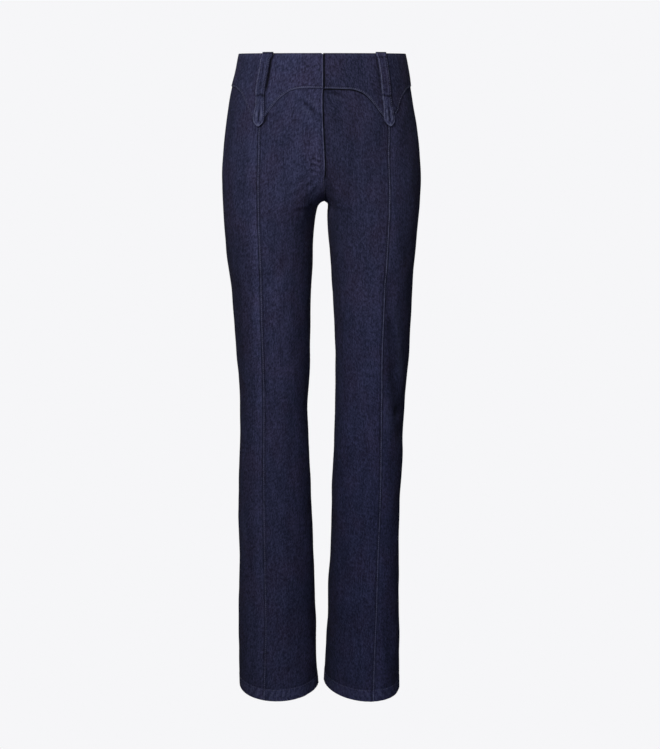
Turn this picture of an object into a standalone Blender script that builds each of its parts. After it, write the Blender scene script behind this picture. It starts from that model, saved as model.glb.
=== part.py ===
"""Slim jeans with a slight boot cut, standing hollow as if worn, built from the pieces
that are cut and sewn: two front panels and one back panel a leg, a shaped waistband in
three lengths, belt loops with pointed tabs, a covered zip and a hook and bar.

Metres, +Z up.  The front faces -Y and the wearer's left is +X.  The origin is the middle
of the waist, level with the waistband's top edge."""

import math

import bpy
import numpy as np

# ---------- driving dimensions ----------
RIGHT, LEFT = -1.0, 1.0     # the wearer's right is -X
HEM_Z = {RIGHT: -1.0863, LEFT: -1.0911}    # the legs' hems, below the waist's top edge
CROTCH_Z = -0.2388          # lowest point of the rise seam
RISE_TOP_Z = -0.165         # above this the two legs share one rounded section
RISE_POWER = 2.0            # how late the rise seam turns under
SPLIT_TOP_Z = -0.135        # from here down the section's middle moves out to the leg's
SPLIT_END_Z = -0.300
ARCH_HEIGHT = 0.012         # rounded top of the gap between the legs
SEAM_GAP = 0.0003           # clearance between sewn pieces
CLOTH = 0.0014              # denim with its seam's turnings pressed flat
HEM_HEIGHT = 0.022          # turned hem
HEM_CLOTH = 0.0028          # two layers at the hem
SIDE_SEAM_ANGLE = math.radians(14.0)   # side seam, behind the widest point

BAND_PROUD = 0.0015         # the waistband stands out from the panels
BAND_CLOTH = 0.0030         # two layers and their interlining
BAND_BACK_Z = -0.0527       # waistband's lower edge at the side seams and the back
BAND_CLEAR = 0.0005         # upright clearance below the waistband's lower edge
LAP_LIFT = 0.0009           # the right front's folded edge stands over the left front
LAP_WIDTH = 0.010
FLY_END_Z = -0.195          # lower end of the lapped fly
UNDERLAP_REACH = 0.030      # the left waistband runs on behind the right one
UNDERLAP_OUT = -0.0036      # its outer and inner face, measured from the panels' surface
UNDERLAP_IN = -0.0050
UNDERLAP_DROP = 0.0035      # it stays below the waistband's top edge
UNDERLAP_SHARES = (1.0, 0.66, 0.33, 0.0)   # its columns, from the far end to the centre
UNDERLAP_STEP = 0.0006      # how far its inner face steps past the centre line
LAP_CORNER_DROPS = (0.0040, 0.0006)        # rounded top corner of the lap, first columns

LOOP_CLOTH = 0.0018
LOOP_BULGE = 0.0026         # slack for a belt
LOOP_COLUMNS_ACROSS = 5
BACK_LOOP_HALF = 0.0055

ZIP_HALF_WIDTH = 0.013
ZIP_TOP_Z = -0.059
ZIP_END_Z = -0.150
ZIP_OUT = -0.0018
ZIP_IN = -0.0034

HOOK_WIDTH, HOOK_HEIGHT = 0.012, 0.009
BAR_WIDTH, BAR_HEIGHT = 0.003, 0.011
HOOK_X, HOOK_Z = -0.016, -0.026
HOOK_OUT, HOOK_IN = -0.0018, -0.0025
BAR_OUT, BAR_IN = -0.0028, -0.0033

# ---------- sections: half widths outwards from x = 0, and depths from y = 0 ----------
SECTION_COLUMNS = ("z", "right_out", "left_out", "right_in", "left_in", "front", "back",
                   "roundness", "right_turn", "left_turn", "right_shift", "left_shift")
SECTIONS = np.array([
    (0.000, .1342, .1359, .0080, .0080, .0960, .0950, 2.15, 0.00, 0.00, .0000, .0000),
    (-.030, .1403, .1417, .0080, .0080, .1000, .0980, 2.17, 0.00, 0.00, .0000, .0000),
    (-.056, .1475, .1459, .0080, .0080, .1030, .1010, 2.20, 0.00, 0.00, .0000, .0000),
    (-.100, .1554, .1537, .0080, .0080, .1068, .1090, 2.22, 0.00, 0.00, .0000, .0000),
    (-.150, .1618, .1603, .0080, .0080, .1062, .1195, 2.24, 0.00, 0.00, .0000, .0000),
    (-.200, .1657, .1639, .0080, .0080, .1030, .1235, 2.24, 0.00, 0.00, .0000, .0000),
    (-.240, .1648, .1636, .0080, .0080, .0985, .1130, 2.22, 0.00, 0.00, .0000, .0000),
    (-.280, .1626, .1606, .0119, .0104, .0930, .0970, 2.16, 0.00, 0.00, .0000, .0000),
    (-.330, .1586, .1552, .0157, .0140, .0885, .0880, 2.12, 0.00, 0.00, .0000, .0000),
    (-.380, .1528, .1519, .0178, .0175, .0845, .0815, 2.10, 0.00, 0.00, .0000, .0000),
    (-.440, .1477, .1500, .0197, .0206, .0795, .0735, 2.08, 0.00, -.02, .0000, .0000),
    (-.510, .1437, .1461, .0214, .0221, .0735, .0650, 2.06, 0.00, -.04, .0000, .0000),
    (-.580, .1404, .1419, .0238, .0222, .0690, .0590, 2.05, -.01, -.05, .0000, .0000),
    (-.650, .1411, .1379, .0230, .0200, .0655, .0590, 2.05, -.01, -.06, .0000, .0000),
    (-.720, .1431, .1355, .0202, .0182, .0645, .0655, 2.05, -.02, -.08, .0000, .0000),
    (-.800, .1438, .1330, .0175, .0154, .0665, .0705, 2.04, -.03, -.10, .0000, .0000),
    (-.880, .1436, .1332, .0142, .0119, .0710, .0735, 2.04, -.02, -.12, -.001, .0010),
    (-.950, .1465, .1341, .0118, .0095, .0760, .0775, 2.04, -.02, -.13, -.002, .0020),
    (-1.02, .1460, .1345, .0104, .0068, .0810, .0815, 2.04, -.02, -.14, -.004, .0032),
    (-1.09, .1442, .1352, .0078, .0036, .0858, .0858, 2.05, -.02, -.14, -.006, .0045),
])

# front seam between the centre and the side panel, half width outwards at each height
FRONT_SEAM_COLUMNS = ("z", "right", "left")
FRONT_SEAM = np.array([
    (-.060, .0890, .0960),
    (-.113, .0998, .1082),
    (-.160, .1016, .1087),
    (-.215, .1034, .1107),
    (-.255, .1030, .1105),
    (-.330, .1009, .1072),
    (-.412, .0998, .1031),
    (-.500, .0983, .1009),
    (-.580, .0981, .1008),
    (-.660, .0992, .1005),
    (-.755, .0992, .0991),
    (-.850, .0984, .0960),
    (-.957, .0974, .0935),
    (-1.02, .0990, .0908),
    (-1.09, .1005, .0890),
])

# waistband's lower edge, from the centre front to the side seam
BAND_EDGE_COLUMNS = ("right", "right_z", "left", "left_z")
BAND_EDGE_INNER = np.array([
    (.0000, -.0545, .0000, -.0550),
    (.0340, -.0548, .0350, -.0558),
    (.0490, -.0585, .0540, -.0575),
    (.0608, -.0655, .0642, -.0615),
    (.0703, -.0745, .0737, -.0685),
    (.0782, -.0840, .0817, -.0775),
    (.0870, -.0960, .0930, -.0925),
    (.0998, -.1130, .1082, -.1120),
])
BAND_EDGE_OUTER = np.array([
    (.0998, -.1130, .1082, -.1120),
    (.1105, -.0990, .1165, -.0985),
    (.1161, -.0890, .1222, -.0895),
    (.1208, -.0780, .1260, -.0775),
    (.1272, -.0645, .1305, -.0665),
    (.1355, -.0560, .1365, -.0575),
    (.1440, -.0527, .1440, -.0527),
])

# belt loops: height, half width, and slack over the waistband; a front one ends in a
# pointed tab
LOOP_COLUMNS = ("z", "half_width", "slack")
BACK_LOOP_ROWS = np.array([
    (.0010, BACK_LOOP_HALF, 0.0),
    (-.006, BACK_LOOP_HALF, 0.3),
    (-.015, BACK_LOOP_HALF, 0.9),
    (-.027, BACK_LOOP_HALF, 1.0),
    (-.040, BACK_LOOP_HALF, 0.9),
    (-.050, BACK_LOOP_HALF, 0.3),
    (-.058, BACK_LOOP_HALF, 0.0),
])
LOOP_ROWS = np.array([
    (.0020, .0082, 0.00),
    (-.004, .0083, 0.25),
    (-.012, .0085, 0.80),
    (-.024, .0085, 1.00),
    (-.042, .0085, 0.90),
    (-.056, .0084, 0.50),
    (-.068, .0082, 0.05),
    (-.082, .0083, 0.00),
    (-.093, .0098, 0.00),
    (-.103, .0100, 0.00),
    (-.109, .0052, 0.00),
    (-.1145, .0008, 0.00),
])

# largest soft folds: x and z of both ends, how far out (ridge) or in (trough), and width
FOLD_COLUMNS = ("face", "x0", "z0", "x1", "z1", "height", "width")
FRONT, BACK = -1.0, 1.0
FOLDS = np.array([
    (FRONT, .1080, -.370, .1170, -.520, -.0022, .013),
    (FRONT, .1170, -.520, .1360, -.625, -.0026, .014),
    (FRONT, -.1450, -.780, -.1430, -.900, .0012, .014),
    (FRONT, -.0500, -.590, -.1150, -.615, -.0014, .026),
    (FRONT, .0480, -.600, .1180, -.580, -.0012, .026),
    (FRONT, -.0400, -.990, -.1150, -.965, -.0016, .026),
    (FRONT, .0400, -.985, .1180, -.960, -.0016, .026),
    (BACK, -.0300, -.262, -.1250, -.278, -.0026, .018),
    (BACK, .0300, -.262, .1250, -.278, -.0026, .018),
    (BACK, -.0450, -.560, -.1250, -.545, -.0026, .022),
    (BACK, -.0400, -.625, -.1200, -.640, -.0030, .022),
    (BACK, .0450, -.560, .1250, -.545, -.0026, .022),
    (BACK, .0400, -.625, .1180, -.640, -.0030, .022),
    (BACK, -.0350, -.960, -.1200, -.985, -.0020, .026),
    (BACK, .0350, -.960, .1150, -.985, -.0020, .026),
])

# ---------- mesh density ----------
RING_SAMPLES = 481
CENTRE_PANEL_SHARES = (0, .03, .10, .19, .29, .39, .49, .59, .69, .79, .89, 1)
SIDE_PANEL_CELLS = 6
BACK_PANEL_CELLS = 12
HEM_ROWS = (0.0, HEM_HEIGHT - 0.0005, HEM_HEIGHT + 0.002)     # heights above the hem
LEG_ROWS = (
    -1.020, -.965, -.910, -.855, -.800, -.745, -.690, -.640, -.595, -.550, -.500, -.450,
    -.400, -.355, -.320, -.292, -.272, -.260, -.252, -.247, -.2435, -.241, -.2394, -.2382)
ROW_SHARES_ABOVE = (.0093, .023, .042, .072, .116, .177, .264, .374, .511, .666, .840,
                    1.0)

# ---------- colours ----------
DENIM = (0.030, 0.031, 0.056)
DENIM_LIGHT = (0.038, 0.039, 0.068)
DENIM_DARK = (0.024, 0.025, 0.047)
ZIP_TAPE = (0.018, 0.018, 0.030)
HOOK_METAL = (0.55, 0.55, 0.57)


def smooth(at, xs, ys):
    """Cubic curve through the points (xs, ys), which keeps its end slopes beyond them."""
    order = np.argsort(xs)
    xs, ys = np.asarray(xs, float)[order], np.asarray(ys, float)[order]
    step = np.diff(xs)
    rise = np.diff(ys) / step
    slope = np.empty_like(ys)
    slope[1:-1] = (rise[:-1] * step[1:] + rise[1:] * step[:-1]) / (step[1:] + step[:-1])
    slope[0], slope[-1] = rise[0], rise[-1]
    at = np.asarray(at, float)
    k = np.clip(np.searchsorted(xs, at) - 1, 0, len(step) - 1)
    h, t = step[k], np.clip((at - xs[k]) / step[k], 0.0, 1.0)
    beyond = at - np.clip(at, xs[0], xs[-1])
    end_slope = np.where(at < xs[0], slope[0], slope[-1])
    curve = ((2 * t**3 - 3 * t**2 + 1) * ys[k] + (t**3 - 2 * t**2 + t) * h * slope[k]
             + (3 * t**2 - 2 * t**3) * ys[k + 1] + (t**3 - t**2) * h * slope[k + 1])
    return curve + beyond * end_slope


def section_value(name, z):
    column = SECTION_COLUMNS.index(name)
    return smooth(z, SECTIONS[:, 0], SECTIONS[:, column])


def side_name(side):
    return "right" if side < 0 else "left"


def section(side, z):
    """One leg's rounded section at height z: its centre, its half widths towards the
    other leg and outwards, its turn, its shift to the back, and its depths.  Above the
    crotch the inner half is wide enough to pass x = 0, where the legs meet in a seam."""
    out = section_value(side_name(side) + "_out", z)
    low = np.clip((RISE_TOP_Z - z) / (RISE_TOP_Z - CROTCH_Z), 0.0, 1.0)
    arch = np.sqrt(1 - np.clip(1 - (CROTCH_Z - z) / ARCH_HEIGHT, 0.0, 1.0) ** 2)
    gap = section_value(side_name(side) + "_in", z)
    part = np.clip((SPLIT_TOP_Z - z) / (SPLIT_TOP_Z - SPLIT_END_Z), 0.0, 1.0)
    centre = (out + gap) / 2 * part**2 * (3 - 2 * part) + 1e-6
    meeting = out * centre / (centre + (out - centre) * low ** RISE_POWER)
    inward = np.where(z < CROTCH_Z, centre - gap * arch, meeting)
    outward = out - centre
    turn = section_value(side_name(side) + "_turn", z)
    shift = section_value(side_name(side) + "_shift", z)
    front, back = section_value("front", z), section_value("back", z)
    inward = np.sqrt(inward**2 - (turn * back) ** 2)
    outward = np.sqrt(outward**2 - (turn * front) ** 2)
    return centre, inward, outward, turn, shift, front, back


def surface(side, z, angle):
    """A point of the cloth's outer face.  The angle runs from the leg's inner side (pi)
    round the front (pi / 2) to the outer side (0) and on round the back (-pi / 2)."""
    z = np.asarray(z, float)
    centre, inward, outward, turn, shift, front, back = section(side, np.minimum(z, 0.0))
    power = 2 / section_value("roundness", np.minimum(z, 0.0))
    c, s = np.cos(angle), np.sin(angle)
    depth = np.where(s > 0, -front, back)
    y = depth * np.abs(s) ** power
    half = np.where(c > 0, outward, inward)
    u = centre + half * np.sign(c) * np.abs(c) ** power + turn * y
    return np.stack([side * u, y + shift, np.broadcast_to(z, u.shape)], axis=-1)


def fold_height(point):
    """Soft troughs and ridges: how far the cloth stands out at a point."""
    total = np.zeros(point.shape[:-1])
    for face, x0, z0, x1, z1, height, width in FOLDS:
        ends = np.array([x0, z0]), np.array([x1, z1])
        along = ends[1] - ends[0]
        flat = point[..., [0, 2]] - ends[0]
        share = np.clip(flat @ along / (along @ along), 0.0, 1.0)
        gap = np.linalg.norm(flat - share[..., None] * along, axis=-1)
        on_face = np.clip(point[..., 1] * face / 0.02, 0.0, 1.0)
        total += on_face * height * np.exp(-(gap / width) ** 2)
    return total


def normal(side, z, angle):
    """Outward direction of the surface, by central differences."""
    turn_step, z_step = 0.01, 0.0005
    along = surface(side, z, angle + turn_step) - surface(side, z, angle - turn_step)
    up = surface(side, z + z_step, angle) - surface(side, z - z_step, angle)
    out = np.cross(up, along) * side
    return out / np.linalg.norm(out, axis=-1, keepdims=True)


def raised(side, z, angle, offset):
    """A point that stands off the folded surface by an offset."""
    point = surface(side, z, angle)
    lift = np.asarray(fold_height(point) + offset)
    return point + normal(side, z, angle) * lift[..., None]


class Ring:
    """The whole section of one leg at one height, measured along the cloth."""

    def __init__(self, side, z):
        self.side, self.z = side, z
        self.angle = np.linspace(math.pi, -math.pi, RING_SAMPLES)
        points = surface(side, np.full(RING_SAMPLES, z), self.angle)
        steps = np.linalg.norm(np.diff(points, axis=0), axis=1)
        self.arc = np.concatenate([[0.0], np.cumsum(steps)])
        self.out = points[:, 0] * side
        self.front = self.angle > 0

    def arc_at_angle(self, angle):
        return float(np.interp(-angle, -self.angle, self.arc))

    def angle_at_arc(self, arc):
        return float(np.interp(arc, self.arc, self.angle))

    def arc_in_front(self, out):
        """Where the front half passes a distance outwards from x = 0."""
        return float(np.interp(out, self.out[self.front], self.arc[self.front]))

    def arc_in_back(self, out):
        back = ~self.front
        return float(np.interp(out, self.out[back][::-1], self.arc[back][::-1]))

    def seam(self, name):
        half_gap = SEAM_GAP / 2
        if name == "centre_front":
            return max(self.arc_in_front(half_gap), half_gap)
        if name == "front_seam":
            column = FRONT_SEAM_COLUMNS.index(side_name(self.side))
            return self.arc_in_front(smooth(self.z, FRONT_SEAM[:, 0], FRONT_SEAM[:, column]))
        if name == "side_seam":
            return self.arc_at_angle(-SIDE_SEAM_ANGLE)
        return min(self.arc_in_back(half_gap), self.arc[-1] - half_gap)

    def angle_between(self, first, last, share):
        """The angle at a share of the way from one seam to the next, clear of both."""
        start, end = self.seam(first), self.seam(last)
        if first != "centre_front":
            start += SEAM_GAP / 2
        if last != "centre_back":
            end -= SEAM_GAP / 2
        return self.angle_at_arc(start + (end - start) * share)


def out_to_angle(side, z, out):
    """The front angle at which the surface lies a distance outwards."""
    return Ring(side, z).angle_at_arc(Ring(side, z).arc_in_front(out))


def band_edge_curve(side):
    """The waistband's lower edge as heights over angles, inner and outer stretch."""
    out = BAND_EDGE_COLUMNS.index(side_name(side))
    curves = []
    for table in (BAND_EDGE_INNER, BAND_EDGE_OUTER):
        angles = [out_to_angle(side, row[out + 1], row[out]) for row in table]
        curves.append((np.array(angles), table[:, out + 1]))
    return curves


BAND_EDGES = {side: band_edge_curve(side) for side in (RIGHT, LEFT)}


def band_tip(side):
    """Angle of the waistband's pointed drop."""
    return float(BAND_EDGES[side][0][0][-1])


def band_edge(side, angle):
    """Height of the waistband's lower edge at an angle."""
    if angle <= 0:
        return BAND_BACK_Z
    inner, outer = BAND_EDGES[side]
    stretch = inner if angle > band_tip(side) else outer
    z = float(smooth(angle, stretch[0], stretch[1]))
    return min(z, BAND_BACK_Z)


def panel_top(side, first, last, share):
    """Angle and height at which a panel's column meets the waistband."""
    if (first, last) == ("centre_front", "front_seam") and share == 1:
        angle, z = band_tip(side), band_edge(side, band_tip(side)) - BAND_CLEAR
        return Ring(side, z).angle_between(first, last, share), z
    if first == "front_seam" and share == 0:
        z = band_edge(side, band_tip(side)) - BAND_CLEAR
        return Ring(side, z).angle_between(first, last, share), z
    z = -0.075
    for _ in range(30):
        angle = Ring(side, z).angle_between(first, last, share)
        z = 0.5 * z + 0.5 * (band_edge(side, angle) - BAND_CLEAR)
    return angle, z


# ---------- solids ----------

def material(name, colour, roughness=0.85, metallic=0.0):
    made = bpy.data.materials.new(name)
    made.use_nodes = True
    shader = made.node_tree.nodes["Principled BSDF"]
    shader.inputs["Base Color"].default_value = (*colour, 1.0)
    shader.inputs["Roughness"].default_value = roughness
    shader.inputs["Metallic"].default_value = metallic
    return made


def solid(name, outer, inner, colour, roughness=0.85, metallic=0.0):
    """A closed wall between two grids of points, with its rim all round."""
    rows, columns = outer.shape[:2]
    points = np.concatenate([outer.reshape(-1, 3), inner.reshape(-1, 3)])
    index = np.arange(rows * columns).reshape(rows, columns)
    back = rows * columns
    quads = []
    for grid, flip in ((index, False), (index + back, True)):
        a, b, c, d = grid[:-1, :-1], grid[:-1, 1:], grid[1:, 1:], grid[1:, :-1]
        order = (a, d, c, b) if flip else (a, b, c, d)
        quads.append(np.stack(order, axis=-1).reshape(-1, 4))
    rim = np.concatenate([index[0, :-1], index[:-1, -1], index[-1, :0:-1], index[:0:-1, 0]])
    ahead = np.roll(rim, -1)
    quads.append(np.stack([ahead, rim, rim + back, ahead + back], axis=-1))
    faces = np.concatenate(quads)
    corner = points[faces]
    spread = (np.einsum("ij,ij->i", corner[:, 0], np.cross(corner[:, 1], corner[:, 2]))
              + np.einsum("ij,ij->i", corner[:, 0], np.cross(corner[:, 2], corner[:, 3])))
    if spread.sum() < 0:
        faces = faces[:, ::-1]
    mesh = bpy.data.meshes.new(name)
    mesh.from_pydata(points.tolist(), [], faces.tolist())
    mesh.shade_smooth()
    mesh.set_sharp_from_angle(angle=math.radians(40))
    mesh.materials.append(material(name, colour, roughness, metallic))
    made = bpy.data.objects.new(name, mesh)
    bpy.context.scene.collection.objects.link(made)
    return made


def lap_lift(side, z, angle):
    """Extra height of the folded lap edge on the right front."""
    if side > 0 or z < FLY_END_Z or angle < 0:
        return 0.0
    across = abs(float(surface(side, z, angle)[0])) / LAP_WIDTH
    fade = np.clip((z - FLY_END_Z) / 0.01, 0.0, 1.0)
    return LAP_LIFT * float(np.clip(1.6 - across, 0.0, 1.0)) * float(fade)


def panel(name, side, first, last, shares, colour):
    """A leg panel from the hem to the waistband between two seams."""
    z_ref = LEG_ROWS[-1]
    tops = [panel_top(side, first, last, share)[1] for share in shares]
    hem_rows = [HEM_Z[side] + rise for rise in HEM_ROWS]
    heights = [[z] * len(shares) for z in (*hem_rows, *LEG_ROWS)]
    for part in ROW_SHARES_ABOVE:
        heights.append([z_ref + (top - z_ref) * part for top in tops])
    heights = np.array(heights)
    angles = np.array([[Ring(side, z).angle_between(first, last, share)
                        for z, share in zip(row, shares)] for row in heights])
    lift = np.array([[lap_lift(side, z, angle) for z, angle in zip(*row)]
                     for row in zip(heights, angles)])
    in_hem = heights < HEM_Z[side] + HEM_HEIGHT
    outer = raised(side, heights, angles, lift)
    inner = raised(side, heights, angles, -np.where(in_hem, HEM_CLOTH, CLOTH))
    inner[0, :, 2] = outer[0, :, 2]
    return solid(name, outer, inner, colour)


def band_columns(side, front):
    """Angles and lower heights of the waistband's columns, in line with the panels'."""
    if not front:
        shares = np.linspace(0, 1, BACK_PANEL_CELLS + 1)
        tops = [panel_top(side, "side_seam", "centre_back", share) for share in shares]
        return [(angle, BAND_BACK_Z) for angle, _ in tops]
    side_shares = np.linspace(0, 1, SIDE_PANEL_CELLS + 1)
    tops = [panel_top(side, "centre_front", "front_seam", share)
            for share in CENTRE_PANEL_SHARES[:-1]]
    tip = [(band_tip(side), band_edge(side, band_tip(side)) - BAND_CLEAR)]
    outer = [panel_top(side, "front_seam", "side_seam", share) for share in side_shares[1:]]
    return [(angle, z + BAND_CLEAR) for angle, z in tops + tip + outer]


BAND_ROW_SHARES = np.array([0.0, 0.12, 0.38, 0.68, 1.0])


def band_grid(side, columns, offset, lap_corner=False):
    """Rows from the lower edge up to the waistband's top edge, at an offset."""
    grid = []
    for k, (angle, low) in enumerate(columns):
        top = 0.0
        if lap_corner and k < 2:
            top = -LAP_CORNER_DROPS[k]
        heights = low + (top - low) * BAND_ROW_SHARES
        lift = np.zeros(len(heights))
        if offset > 0:
            lift = np.array([lap_lift(side, z, angle) for z in heights])
        grid.append(raised(side, heights, np.full(len(heights), angle), offset + lift))
    return np.stack(grid, axis=1)


def waistband_front_right():
    columns = band_columns(RIGHT, front=True)
    outer = band_grid(RIGHT, columns, BAND_PROUD, lap_corner=True)
    inner = band_grid(RIGHT, columns, BAND_PROUD - BAND_CLOTH, lap_corner=True)
    inner[-1, :, 2] = outer[-1, :, 2]
    solid("waistband_front_right", outer, inner, DENIM_LIGHT)


def waistband_front_left():
    """The left front waistband, with the thinner underlap behind the right one."""
    columns = band_columns(LEFT, front=True)
    outer = band_grid(LEFT, columns, BAND_PROUD)
    inner = band_grid(LEFT, columns, BAND_PROUD - BAND_CLOTH)
    low = columns[0][1] + SEAM_GAP
    heights = low + (-UNDERLAP_DROP - low) * BAND_ROW_SHARES
    laps_out, laps_in = [], []
    for share in UNDERLAP_SHARES:
        reach = UNDERLAP_REACH * share
        angle = np.array([out_to_angle(RIGHT, z, reach) for z in heights])
        laps_out.append(raised(RIGHT, heights, angle, UNDERLAP_OUT))
        laps_in.append(raised(RIGHT, heights, angle, UNDERLAP_IN))
    laps_out[-1][:, 0] = outer[:, 0, 0]
    laps_in[-1][:, 0] = -UNDERLAP_STEP
    inner[:, 0] = underlap_shift(inner[:, 0], UNDERLAP_STEP)
    inner[:, 1] = underlap_shift(inner[:, 1], 0.0)
    outer = np.concatenate([np.stack(laps_out, axis=1), outer], axis=1)
    inner = np.concatenate([np.stack(laps_in, axis=1), inner], axis=1)
    inner[-1, :, 2] = outer[-1, :, 2]
    solid("waistband_front_left", outer, inner, DENIM)


def underlap_shift(points, x_shift):
    """Thickens the wall inwards where the underlap leaves it."""
    moved = points.copy()
    moved[:, 0] += x_shift
    moved[:, 1] += BAND_PROUD - BAND_CLOTH - UNDERLAP_IN
    return moved


def waistband_back():
    grids = []
    for offset in (BAND_PROUD, BAND_PROUD - BAND_CLOTH):
        right = band_grid(RIGHT, band_columns(RIGHT, front=False), offset)
        left = band_grid(LEFT, band_columns(LEFT, front=False), offset)
        grids.append(np.concatenate([right[:, :-1], left[:, ::-1]], axis=1))
    grids[1][-1, :, 2] = grids[0][-1, :, 2]
    solid("waistband_back", grids[0], grids[1], DENIM)


def belt_loop(name, rows, place, colour):
    """A sewn strip over the waistband, slack in the middle for a belt.  place gives the
    side and angle of a point at a height and a distance across the strip."""
    outer, inner = [], []
    for z, half_width, slack in rows:
        under = BAND_PROUD + SEAM_GAP + slack * LOOP_BULGE
        across = np.linspace(-half_width, half_width, LOOP_COLUMNS_ACROSS)
        spots = [place(min(z, 0.0), distance) for distance in across]
        outer.append([raised(side, z, angle, under + LOOP_CLOTH) for side, angle in spots])
        inner.append([raised(side, z, angle, under) for side, angle in spots])
    outer, inner = np.array(outer), np.array(inner)
    inner[0, :, 2] = outer[0, :, 2]
    solid(name, outer, inner, colour)


def front_loop_place(side):
    def place(z, distance):
        ring = Ring(side, z)
        return side, ring.angle_at_arc(ring.arc_at_angle(band_tip(side)) + distance)
    return place


def back_loop_place(z, distance):
    side = LEFT if distance > 0 else RIGHT
    ring = Ring(side, z)
    return side, ring.angle_at_arc(ring.arc_in_back(abs(distance)))


def belt_loops():
    for side in (RIGHT, LEFT):
        belt_loop("belt_loop_front_" + side_name(side), LOOP_ROWS, front_loop_place(side),
                  DENIM_LIGHT)
    belt_loop("belt_loop_back", BACK_LOOP_ROWS, back_loop_place, DENIM)


def front_patch(name, x_range, z_range, offsets, cells, colour, roughness=0.85,
                metallic=0.0):
    """A plain piece behind the front, across the centre line, between two offsets."""
    xs = np.linspace(*x_range, cells[0] + 1)
    zs = np.linspace(*z_range, cells[1] + 1)
    grids = []
    for offset in offsets:
        rows = []
        for z in zs:
            sides = [math.copysign(1, x) for x in xs]
            angles = [out_to_angle(side, z, abs(x)) for side, x in zip(sides, xs)]
            rows.append([raised(side, z, a, offset) for side, a in zip(sides, angles)])
        grids.append(np.array(rows))
    solid(name, grids[0], grids[1], colour, roughness, metallic)


def fly_zip():
    front_patch("fly_zip", (-ZIP_HALF_WIDTH, ZIP_HALF_WIDTH), (ZIP_END_Z, ZIP_TOP_Z),
                (ZIP_OUT, ZIP_IN), (4, 8), ZIP_TAPE)


def hook_and_bar():
    front_patch("waist_hook", (HOOK_X - HOOK_WIDTH / 2, HOOK_X + HOOK_WIDTH / 2),
                (HOOK_Z - HOOK_HEIGHT / 2, HOOK_Z + HOOK_HEIGHT / 2),
                (HOOK_OUT, HOOK_IN), (3, 2), HOOK_METAL, 0.35, 1.0)
    front_patch("waist_bar", (HOOK_X - BAR_WIDTH / 2, HOOK_X + BAR_WIDTH / 2),
                (HOOK_Z - BAR_HEIGHT / 2, HOOK_Z + BAR_HEIGHT / 2),
                (BAR_OUT, BAR_IN), (2, 2), HOOK_METAL, 0.35, 1.0)


def leg_panels():
    for side in (RIGHT, LEFT):
        word = side_name(side)
        panel("front_centre_" + word, side, "centre_front", "front_seam",
              CENTRE_PANEL_SHARES, DENIM)
        panel("front_side_" + word, side, "front_seam", "side_seam",
              np.linspace(0, 1, SIDE_PANEL_CELLS + 1), DENIM_DARK)
        panel("back_" + word, side, "side_seam", "centre_back",
              np.linspace(0, 1, BACK_PANEL_CELLS + 1), DENIM)


def main():
    for old in list(bpy.data.objects):
        bpy.data.objects.remove(old, do_unlink=True)
    leg_panels()
    waistband_front_right()
    waistband_front_left()
    waistband_back()
    belt_loops()
    fly_zip()
    hook_and_bar()


main()
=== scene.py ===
"""Dark denim jeans with a slight boot cut, worn hollow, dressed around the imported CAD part.

Metres, +Z up, the front faces -Y and the wearer's left is +X.  The origin is the middle of
the waist, level with the waistband's top edge.  Each cloth piece is a thin wall worked out
from the same section tables as its solid, with its seams, creases and stitching added."""

import math

import bpy
import numpy as np
from bpy.props import FloatProperty, FloatVectorProperty, PointerProperty
from bpy.types import Operator, Panel, PropertyGroup
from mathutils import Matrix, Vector


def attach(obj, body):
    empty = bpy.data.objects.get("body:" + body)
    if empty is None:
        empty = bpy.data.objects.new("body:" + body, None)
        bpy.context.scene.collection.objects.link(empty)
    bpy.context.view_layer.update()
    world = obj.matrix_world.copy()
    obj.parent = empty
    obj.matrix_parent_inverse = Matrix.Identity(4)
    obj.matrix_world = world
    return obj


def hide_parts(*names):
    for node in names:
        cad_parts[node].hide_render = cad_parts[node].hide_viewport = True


bl_info = {
    "name": "Dark denim jeans",
    "version": (1, 0, 0),
    "blender": (4, 5, 0),
    "location": "View3D > Sidebar > Jeans",
    "description": "Builds the cloth, sewing and studio around the jeans' CAD solids",
    "category": "Add Mesh",
}

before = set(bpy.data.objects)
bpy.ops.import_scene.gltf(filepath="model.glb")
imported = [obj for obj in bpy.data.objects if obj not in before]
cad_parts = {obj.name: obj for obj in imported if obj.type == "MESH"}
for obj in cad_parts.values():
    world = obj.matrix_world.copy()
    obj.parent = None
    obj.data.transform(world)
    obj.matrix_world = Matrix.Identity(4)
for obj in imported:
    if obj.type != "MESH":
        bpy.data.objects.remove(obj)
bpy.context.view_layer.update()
BODY = "root"

# ---------- the CAD part's sizes ----------
RIGHT, LEFT = -1.0, 1.0     # the wearer's right is -X
HEM_Z = {RIGHT: -1.0863, LEFT: -1.0911}
CROTCH_Z = -0.2388
RISE_TOP_Z = -0.165
RISE_POWER = 2.0
SPLIT_TOP_Z = -0.135
SPLIT_END_Z = -0.300
ARCH_HEIGHT = 0.012
ARCH_SOFTNESS = 6.0
SEAM_GAP = 0.0003
HEM_HEIGHT = 0.022
SIDE_SEAM_ANGLE = math.radians(14.0)
BAND_PROUD = 0.0015
BAND_BACK_Z = -0.0527
FLY_END_Z = -0.195
UNDERLAP_REACH = 0.030
UNDERLAP_OUT = -0.0036
UNDERLAP_IN = -0.0050
UNDERLAP_DROP = 0.0035
LOOP_BULGE = 0.0026
ZIP_TOP_Z = -0.059
ZIP_END_Z = -0.150

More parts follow.
